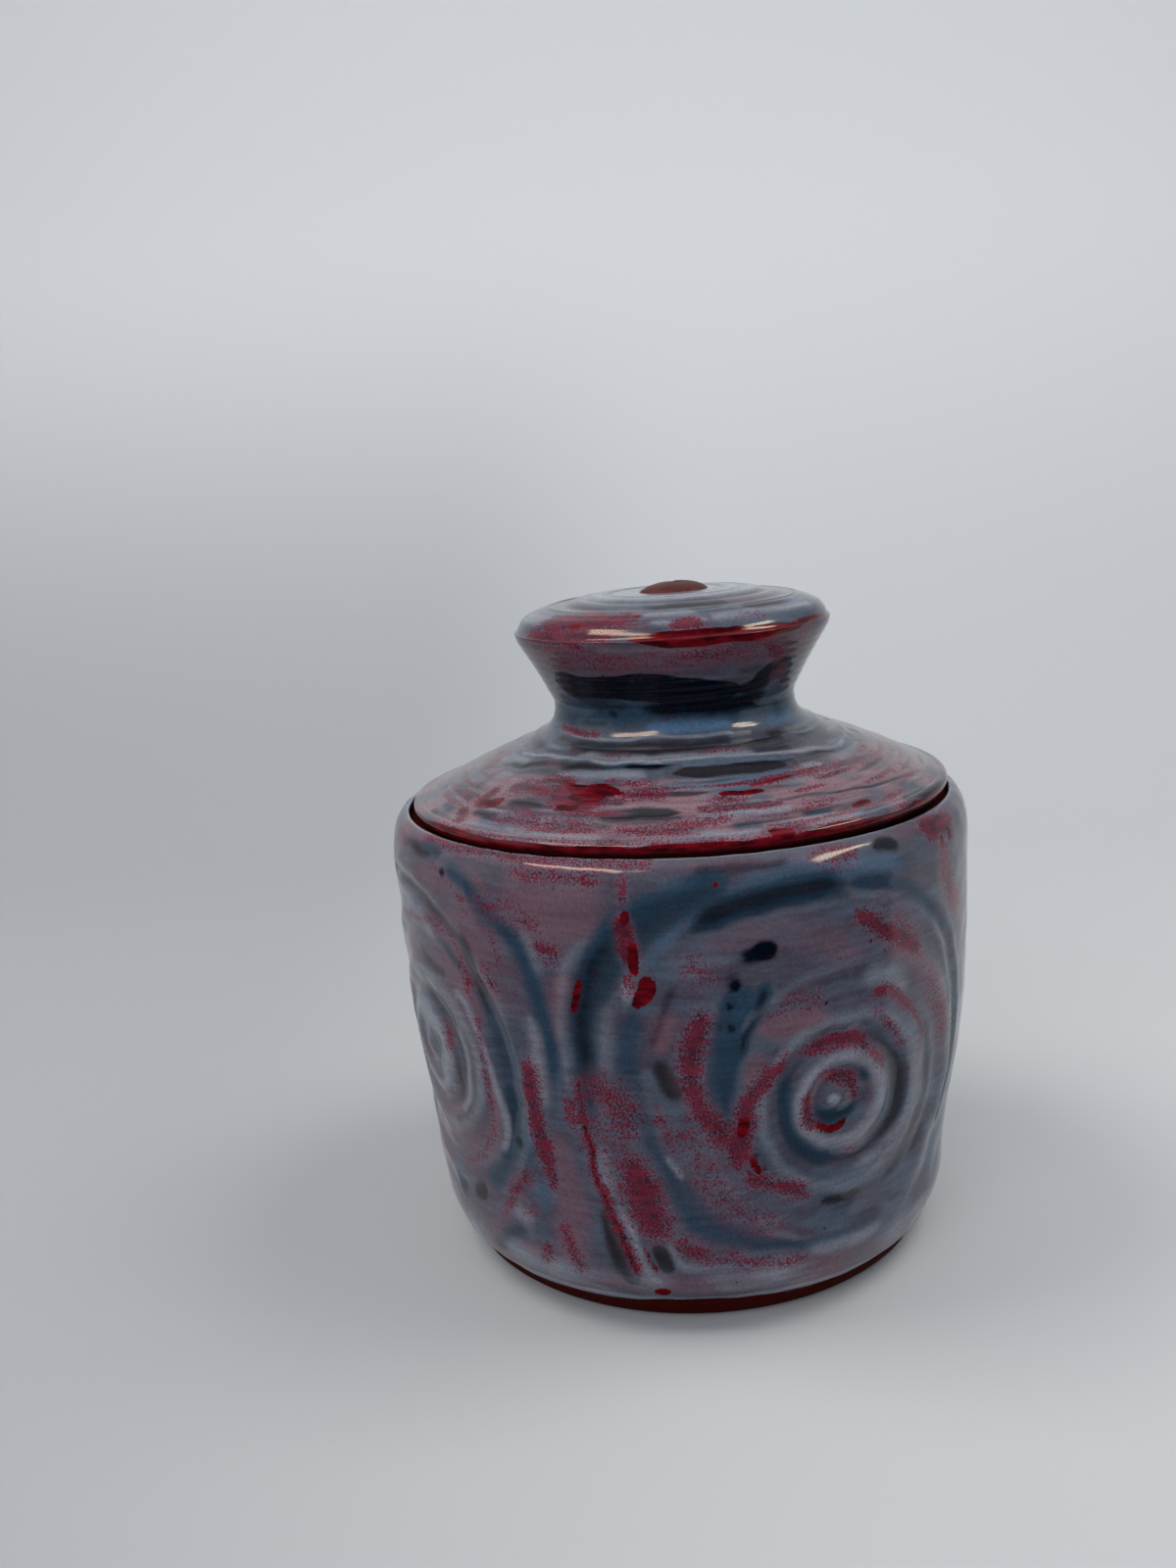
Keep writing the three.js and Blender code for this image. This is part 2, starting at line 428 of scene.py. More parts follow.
# Its rings: distance from its middle, half width and height in mm.
SWIRL_RINGS = (
    (0, 3.2, 0.35), (5.2, 2.6, -0.75), (11.2, 2.6, 0.75), (16.6, 2.9, -0.85), (22.5, 3.0, 0.6),
    (27.2, 2.2, -0.3), (32.2, 2.6, -0.5), (37.5, 3.0, 0.45), (43.0, 3.0, -0.25),
)
# Glaze on its rings: layer, strength, distance from its middle and half width in mm.
SWIRL_GLAZES = (("pale", 0.8, 11.4, 2.2), ("pale", 0.5, 22.6, 2.4), ("olive", 0.5, 16.6, 1.5))


# Brushed glazes and finger grooves. The front of the jar: degrees to the right of the middle, and mm
# above the table.
FRONT_STROKES = read_strokes("""
groove 1.5 0.85 -19.5 55 2, -19 70 4, -17.5 88 5.5, -14.5 103 6, -9 114 6, -2 120.5 5, 10 124.5 4,
    24 125.5 3, 36 123 2.2, 46 117 2, 54 107, 60 94, 64 78, 65 60, 62 45
groove 1.5 0.45 9 104 3.5, 6.5 94 4.5, 5.5 82, 6 68 3, 8 60 2
groove 1.5 0.6 -11 94 2.5, -10.5 80 3, -8.5 66, -5.5 52, -1 40 3.2, 6 31 3, 16 25 2.4, 30 22.5 2
groove 1.5 0.35 -18 40 1, -15.5 26 2, -13 14
teal 5 1.05 -18.5 60 2, -18.6 72 2.2, -18.3 84 2.6, -17.6 94 3, -15.6 104 4, -13 112 4.4, -9.5 118 5,
    -5 122.5 4.8, 0 126 4, 5 129.5 3, 9 131.5 2
teal 4 1.35 1.5 117.5 2, 4 120.5 2.6, 8 123 2.7, 13 124.7 2.8, 19 125.8 2.6, 25 125.8 2.3, 30 125 2
teal 3 0.9 30 125 2, 36 123.6 1.6, 42 121.4 1.3, 46 117.5, 50 113, 54 107.5, 57.5 101
teal 3 0.9 11.2 103 2.6, 9.2 98 4.2, 7 88 4.4, 6 80 3.8, 5.7 73 3, 6.2 66 1.6, 6.5 61 0.7
teal 3 1.4 13.8 103 1, 12 96 1.3, 10 89 1.1, 8.8 82 0.7
teal 4 0.7 -8 100 2, -9.5 92 2.6, -10.5 84, -10.6 76 3, -9.4 68 2.4, -8 61 1.8, -6.4 55, -4.6 50 2.6,
    -2.6 45 3.4, -1.2 40 4, 1.5 35 3.8, 5.5 31 3.2, 10.5 28 2.4, 16 25.6 2, 24 24 1.6
ink 3 0.5 -12 16 1.2, -10 13.8 1.4
olive 3 0.95 -17.8 42 0.8, -17 34 1.8, -15.8 27 2.6, -14.2 20 3, -12.2 14.4 2.6
teal 2 1.3 -14.4 20 1.2, -12.8 15.6 1.8
teal 2 1.15 23 67 1, 23.6 63.5 1.8, 26.5 61.8 2.2, 30 62.2 2, 32.5 64 1.2
teal 2 1.2 33 72.5 1.9, 34.3 71 1.2
teal 3 1.05 17 80 1.4, 16.8 74 1.6, 17.4 66, 18.6 59 1.8, 21 53.5 2, 25.5 50.6, 30 50 1.6
teal 5 0.5 50 80 2, 53 68 2.6, 53 55 2
teal 4 0.6 10 70 1.4, 12 60 1.8, 16 51 2, 21 45.5, 28 42 1.6
blue 5 0.9 -6 113 2, -2 118 2.6, 3 123 2.2, 9 127 2, 15 129 2.4, 22 129.6, 32 129, 44 127
blue 3 0.8 -5 112 1, -5 108 1.4
blue 4 0.8 24 40 2.4, 30 40 2, 38 40 1.6
blue 3 0.8 18 24 1, 26 23.4 1.2, 34 22.4 1
blue 4 0.8 38.5 56 1.4, 39.5 64, 38 72
blue 6 0.8 60 36 3, 64 28
blue 6 0.6 -24 88 2, -24 76, -24 62
ink 2.2 0.9 10.6 110.4 1.4, 12.4 110.8 2
ink 1.8 1.2 12.4 111.4 1.8, 13.8 111.3 2.3, 15.4 110.9 1.9
olive 3 0.5 8.6 109.6 1.2, 11 110 1.6
ink 1.4 1.1 8.3 102.8 1.2, 8.9 102.8 1.4
ink 1.2 0.9 7.5 97.5 0.8, 7.7 97 0.8
ink 1.2 0.9 7.5 91.5 0.8, 7.7 91 0.8
ink 1.2 0.7 5.4 91.8 0.6, 5.6 91.2
ink 3 0.58 5 106 1, 9 105 1.4
ink 1.6 1.1 -10.5 120.5 1, -10.2 117 1.8, -9.6 112.6 1.7, -9.2 109.5 0.8
ink 4 0.62 -12 116 1, -15 110 1.6, -17.4 103 1.8, -18.5 94 2, -18.6 84, -18.8 76 1.4, -18.8 66 0.8
ink 3 0.6 -1.8 104 1, -3.4 98, -5 92 0.8, -6.4 86 0.6
ink 2 0.95 -14.4 19 1.2, -13.6 16
ink 3 0.62 -1 115.8 0.8, 4 118.6 1, 10 121, 18 122.9, 26 123.2 0.9, 31 122.6 0.6
ink 3 0.6 2 132.6 1, 10 133 1.2, 20 133 1
ink 1.6 1 36 132.3 1.2, 40 132 1.6, 43 131.6 1
ink 1.2 0.9 11.5 54.4 0.6, 11.7 53.6
ink 1.2 0.9 13.4 50.4 0.6, 13.6 49.6
ink 1.4 0.9 14.3 22.6 0.7, 14.5 22.2
ink 2 0.5 -12 80 0.8, -8 80
olive 2.6 0.9 -5.5 83.5 1, -4 79 2.2, -2.8 75, -2 72 1.6
olive 1.6 1.1 -8 27.5 1.4, -6.6 24 2.4, -5.6 20.5 1.8
olive 4 0.7 33 83 1, 36 80.5 1.5, 39 76, 41.5 72 2, 43 64 2.6, 43 57, 40.5 51.5 1.6, 36 49 1.2
olive 2 0.9 25 35.5 0.8, 30 36 1.2, 35 35.5 1
olive 3 0.5 27 33 1, 33 32.6 1.2
olive 4 0.75 40 36 1, 47 38.5 1.4, 52 42 2.2, 55 47 1.4
olive 5 0.55 3 107 1.6, 6 106 2, 9 104 1.4
olive 2.4 0.75 20 86 0.6, 24 87.2 1, 27.4 89 0.7
olive 2 0.7 15 83.5 1, 17.5 82.5
olive 3 0.6 -18.6 45 0.8, -17.4 38 1, -15.8 31 0.8
olive 4 0.5 50 80 2, 53 68 2.6, 53 55 2
pale 4 0.42 -16 116 1, -19.5 111, -21.2 105 1.2, -22 97, -22.4 88 1.3, -22.2 80 1.2, -21.8 72 1
pale 5 0.36 -12.5 100 1.8, -14 95 2.4, -14.6 88 2.6, -14.6 82 2, -13.4 78 1.4
pale 2 0.7 -9.8 105 1.2, -9.4 102 1.4, -9.8 99.6 0.8
crimson 2 0.7 -9.6 106 1.2, -9.2 102 1.2
crimson 2 1.1 -10 124 0.6, -9.8 118 1.4, -9.2 112 1.8, -8.6 107 1.4
pale 2.6 0.7 -15 40 0.6, -13.6 36 1.2, -12.4 31, -11.6 26 1, -10.8 22 0.8, -9.4 18.5 0.9, -7.6 15.5 1.4,
    -6.6 14.4 1
pale 4 0.6 -17 58 1.6, -16.8 50 2, -16 42 1.4
pale 2 0.7 -4.8 56 0.8, -3 51.5 0.9, -1.6 47.5 0.8
pale 3 0.6 -5.4 30 1, -3.2 22, 2 21, 8 20.6
pale 4 0.6 2 14 1.6, 10 14 2, 20 14.6 1.6
pale 4 0.65 22 21.4 1.6, 32 21 2, 42 22 1.8
pale 1.6 1 26.4 67.6 1.2, 27.2 67.2 1.4
pale 5 0.6 33 100 3, 40 97, 45 90 2
pale 4 0.6 45 76 1.5, 47.5 66 2.2, 46 55 2, 40 47 1.6, 32 43.6 1.2
pale 4 0.5 -29 118 1.4, -27 110, -26 104
pink 10 0.85 -30 124 8, -22 122 9, -16 127 6
pink 4 0.9 -21.5 105 2.2, -22.5 98 1.6
pink 5 0.95 -3.5 97 2, -4 91, -5 86 1.4
pink 5 0.95 12 92 2, 16 90 3, 22 91 2, 27 90.5 1.4
pink 4 0.8 12.5 84 1.6, 11 79 1.4, 10 75 1
pink 9 0.55 2 113 3, 10 116 4, 19 115 4.5, 27 110 4, 33 104 3
pink 6 0.7 -30 15 3, 0 15.5, 30 15, 60 15.5, 85 15
pink 6 0.7 35 74 1.4, 36.6 66 1.8, 35.4 57 1.6, 30 54.5 1.2
pink 6 0.6 46.5 78 1.4, 48.8 66 2, 48 52 1.6
pink 7 0.75 37 107 3, 45 100 3.4, 52 90 3.6, 57 76 3, 60 62 2
pink 7 0.9 56 126 2, 57.5 118 2.6, 60 112 3, 66 105, 72 96
crimson 4.5 1.05 3.8 98 1, 2.4 94 1.6, 1.2 89 2, 0.6 84 2.2, 0.4 79 2, 1.2 74 1.8, 2 69, 4 64, 6 60 1.6,
    7.2 56 1.8
crimson 3.5 1.05 17.6 83.5 0.8, 16 79.5 1, 13.6 77 1.4, 12 73.5 1.3, 10 69.5 1.6, 9.4 64 2.2, 8.8 58 2.6,
    8.6 53 2.2, 9.4 49.5 1.4
crimson 4 0.95 9.4 49.5 1.4, 12 47 1.8, 15 45 1.6, 18.5 42.5, 21.6 39.5 1.2, 22.6 37 0.8
crimson 7 0.46 -1 66 3, 0.5 58 4, 2.5 51 4.6, 4 45 4.4, 7.5 39 3.4, 12 34 2.6, 18 30.4 1.6
crimson 3 0.6 -6 70 0.8, -5 65 0.9, -3.8 60 0.8, -2.2 54 0.6
crimson 6 1 -12.4 57 2, -11 50 3.2, -9.8 43 4.2, -8.2 36 4, -6 30 2.4
crimson 6 0.75 -19 77 1.4, -16 74.5 3, -13 71 3.4, -12 65 3, -12.6 58 2
crimson 7 0.5 -18 70 2, -17 60 2.6, -15.4 50 2.4, -13.4 42 1.5
crimson 2.4 0.95 -20 78 0.4, -20.2 70 0.6, -19.6 60 0.9, -18.6 50 0.8, -17 40 0.9, -15 32, -13 25 1,
    -11.6 18 0.5
crimson 3.5 0.8 -22.6 71 1, -22.4 66 1.5, -21.6 61.5 1
crimson 4 0.75 -3.6 32 1.4, -2 28 2.2, 0.5 25.4 1.8, 5 23.6 1, 10 22 0.7, 18 20.8 0.6, 24 19.4 0.5
crimson 4 0.8 -27 32 1, -26 25 1.4, -24.6 19.5, -23.4 17 1
crimson 3.5 0.85 -26 112.4 1.2, -24.5 111.6 1.6, -22 110.4 1.4
crimson 5 0.6 0.5 110 1.6, 2.5 107 2, 6 106 1.4
crimson 3 1 31 119 1, 33 115.5 1.6, 36 112 1.8, 39 109, 42.5 106.5, 46 103 1.6, 48.5 100 1.2
crimson 6 0.5 33 118 1.5, 37 114.6 2.4, 41 111.6, 45 108 2, 49 103 1.6
crimson 6 0.55 50 96 2.4, 53 88 3, 56 80, 59 70 2
crimson 2.4 0.9 34.6 91.4 0.9, 36.8 93.6 1.2, 39.5 93 1.3, 42 90 1.1, 45 86 0.9, 48 80.5 0.6, 50.4 75 0.5
crimson 2.6 0.75 35 89.4 0.8, 38 85, 41.5 80 0.6, 44 75 0.4
crimson 3 0.95 20 82 1, 24 83 1.5, 28 83.6 1.6, 31.5 82 1.4, 34.6 78.5 0.9, 37.6 73.5 0.8, 38.8 70.6 0.5
crimson 2.4 0.95 22 72.5 0.8, 21.2 67 1.3, 21.6 62.5, 23.4 59.6
crimson 2.4 0.9 22.4 73.4 0.8, 25.5 74.4 1.4, 28.5 72.8, 31 69.6 1.5, 31 66.4 1.1, 28.8 66 0.5
crimson 4 0.55 13 92 1, 19 96.4 1.6, 25 96
crimson 3 0.7 22.5 133 1, 28 132.4 1.6, 33 132
crimson 3 0.85 -60 135.6 0.8, -40 135.8 1, -30 135.6, -12 135.4, -4 135.4 0.7
crimson 3 0.6 -32 131.4 1.2, -22 131 1.4, -12 131.2 1
crimson 2.4 0.8 -9.8 132 0.5, -9.8 128, -9.6 125
crimson 2 0.85 -17 131 0.7, -15 129.6
crimson 4 0.8 57 133 1.4, 63 130.4 1.6
crimson 3 1.25 50 134 1.4, 54 132.5 2.4, 58 132.4 2, 64 131.6 1.4
crimson 5 0.95 56 129 1.6, 57.5 121 2, 59 114.5 2, 62 109.5 1.6, 66 106.5 1
crimson 2 0.7 29 49.8 0.6, 34 50.2
red 1.2 1.1 -9.3 123.8 0.6, -9.6 120.6 1
red 1.6 1.1 -8.6 116 0.6, -8.4 112 1.2, -8.6 108 1.1, -7.8 106 0.8
red 1.4 1.25 -7.2 106 1, -6.2 103.4 2.1, -7.2 100.6 1.6, -9 98.4 0.4
red 1.6 0.95 -17.8 105.5 0.4, -18.8 102 0.7, -19.4 98 0.8, -19.8 94 0.4
red 2 0.62 -20 78 0.6, -20.2 70, -20 63 0.8, -19.2 58 1, -18.8 51, -18.2 45 0.9, -16.6 39, -15 33 1,
    -13.8 27 1.1, -12.7 21 1, -11.2 16 0.7
red 1.6 0.7 -10.6 28 0.7, -9.4 23 0.8, -7.6 19 0.9
red 1.4 1.2 -8.6 12.6 1, -6.4 12.6 1.1
red 1.8 0.95 9.3 66 1.2, 9 60 1.6
red 1.4 0.95 23 62 0.6, 24.6 59.4 1, 27.4 58.2 1.1, 30.6 59.6 0.8
red 1.4 0.95 10.6 54 0.8, 12 50.5 1, 13.2 48.4 0.8
red 1.2 1.2 56.3 129 0.7, 56.3 126.4 0.9
red 1.2 1.2 60 130 0.8, 60 127.6 1
red 1.2 1 41.4 59.8 0.4, 41.6 59.2
red 1 1 25.1 95.2 0.4, 25.2 94.8
red 1 1 34.5 108.2 0.5, 34.7 107.8
red 1 1.2 5.7 129.8 0.6, 5.9 129.4
""")

# The left side of the jar.
LEFT_STROKES = read_strokes("""
groove 1.5 0.8 -74 121 2, -62 121 2.4, -51 114.5 3, -43 104 3.5, -38 90 4, -35.5 74, -35.5 58, -38.5 46 3.5,
    -45 37 3, -58 30
groove 1.5 0.35 -29 118 2, -26 102 2.5, -24.5 82 3, -25 62 2.5, -26 45 2
pink 14 0.95 -60 126 3, -45 126, -36 122 8
pink 12 0.8 -48 117 5, -42 112 6, -36 106 5
pink 9 0.8 -27 104 4, -24.5 94 3, -27 78
pink 8 0.8 -26.5 60 3, -25 45 4, -25 30 5, -28 17 4
pink 6 0.7 -43 88 2, -40.6 74, -40 62, -42 52 2.6, -48 44, -58 39 2
pink 7 0.6 -68 68 5, -62 66 4
pink 7 0.85 -38 18 4, -31 18
pink 9 0.6 -62 16 7, -50 16 6
pink 6 0.6 -80 100 5, -72 90, -76 80
teal 2.4 1.15 -58 133.2 1, -53 133.2 1.5, -49 133
teal 5 0.95 -48 131 1.6, -42 127 1.8, -37 121, -33 116.5, -30 112 2, -28 106, -26.5 98, -25.4 88, -25 74 1.6
teal 3 0.8 -55 109.5 0.8, -50 107 1, -46.5 103.5, -44.6 101 0.8
teal 3 1 -40 98 1, -38.6 93 1.2, -37 90
teal 5 0.9 -36 72 2, -36.2 64, -36 55 1.8, -38 47, -41 42 2.2, -44 38, -47 35.5 1.8
teal 6 0.55 -38 88 2.4, -36.4 80 3, -35.4 74
teal 3 0.8 -52 33.4 0.6, -49.5 34 0.8
teal 6 0.5 -33.5 95 2.2, -32.4 80 3, -32 66 3, -33 52 2.6, -36 44 2
teal 4 0.55 -36 25 1.8, -40 24, -43 21, -45 18, -48 15, -52 11
blue 5 0.85 -39.5 95 1.4, -38 90 2, -36.5 83 3.4, -35 76 4, -34 70, -33.6 60 3, -33.4 50 2
blue 5 0.8 -30.6 42 1.6, -30.6 34
blue 5 0.7 -55 34 2.6, -61 31 3, -66 28
blue 3 0.8 -41 97.5 1, -41 95
ink 4 0.4 -43.4 109 1.2, -42 106 1.6, -40.6 102 1
blue 4 0.6 -44 70 1.6, -44.4 60
ink 2.4 0.7 -66 132 0.8, -61 132.4 1, -56.5 132.3
ink 1.6 1 -48.4 128.4 0.9, -48 127.6 0.8
ink 3 0.5 -39 123 1, -36.5 121, -34 119
ink 1.6 1 -36 53 0.9, -35.6 52
ink 2 0.7 -33.8 65 0.8, -32.5 66.3
olive 3 1.05 -44.6 111.6 1, -42.6 107 2.2, -41 102.6 1.8, -39.6 98 1
olive 3 1 -74 121.5 0.8, -60 120.6, -56 119, -52.5 116.5 0.9, -48.5 113.5, -46 111 1, -43.5 108.5, -42 105,
    -41 101 1.1, -40 98, -38.8 94 0.9
olive 3 0.7 -61 103 0.7, -56 100.5, -50 98
olive 3 0.75 -61 84 0.9, -58.5 81, -56.8 77, -55.7 71, -56.5 66, -58.5 63.5, -64 59
olive 3 0.75 -60 89.5 0.8, -56 88, -53 85, -51.6 81, -50.8 70, -51 63, -53 58
olive 3 0.85 -46 85 0.9, -44.5 77, -45 68, -46 62, -48.5 57.5 1.2, -52 53.5 1, -56 51.5
olive 2 1.1 -53 29.8 1, -50.5 31.3 2, -48.6 32.2 1.6
olive 5 0.6 -36 25 1.6, -40 24, -43 21, -45 18, -48 15, -52 11
olive 2 0.8 -62 131.6 0.8, -57 131, -52 131
pale 2.4 0.8 -48 94.5 0.8, -45 92, -43.4 88, -42 84, -39.9 75 1, -38.6 65, -38.4 55, -41 48 0.8
pale 2.6 0.65 -53.6 80 0.8, -53.4 72, -53.5 65, -55 60
pale 2.6 0.65 -49 84 0.8, -47.4 78, -47.5 66, -49.5 60, -53 56
pale 4 0.55 -28.4 95 1.4, -28 82 2, -27.8 66
pale 5 0.55 -39 31 2.4, -35.6 29
pale 5 0.5 -70 112 4, -60 115, -52 106 2
pale 5 0.5 -74 60 3, -68 50, -60 44 2
crimson 3 0.75 -68 132 0.8, -66 131.8 1
crimson 3 0.6 -39.5 123.4 0.8, -36.5 121.4 1, -33.4 118.8 0.8
crimson 1.6 1 -43.8 124.2 0.6, -43 122.8 0.5, -41.4 122
crimson 3 0.55 -42.4 118.4 0.8, -41.6 117.6
crimson 3 0.6 -36.4 114 0.8, -35 109.5, -34.4 105.5
crimson 3 0.62 -39.4 105 1, -37 101 1.2, -36 97
crimson 2.6 0.7 -73 108.5 0.6, -65 110.5, -58 111.5, -53 112.5, -49 112, -46.5 109, -45 105, -44 101,
    -43.3 94.5 0.5
crimson 2.6 0.62 -42.3 91 0.6, -41.8 86, -41.4 78, -41.2 70, -41.3 62 0.8, -42.3 55, -45.5 48 0.9, -47 45,
    -50 42, -53.5 39.5, -56 38.8 0.7
crimson 3 0.95 -30.5 81 1, -29.8 76 1.8, -30.2 66 1.9, -29.6 58 2, -29 51, -28.6 47 1.4, -28 40 0.8
crimson 3 0.75 -52.6 84 0.8, -51.8 79 1, -52 75
crimson 1.6 0.9 -49.4 48.8 0.5, -49.2 48.4
crimson 4.5 0.7 -33 45.5 1, -35.5 43 1.8, -38 39.5 2, -39.5 35 1.6, -41.5 30 1, -44 25 0.8
crimson 4 0.55 -33 34 1, -37 30.5
crimson 3 0.75 -31.3 24 1, -31.8 20 1.4, -34 17.5 1.2
crimson 5 0.5 -38 121 2, -30 121, -24 116
crimson 4 0.5 -80 98 1.6, -74 95, -70 88
""")

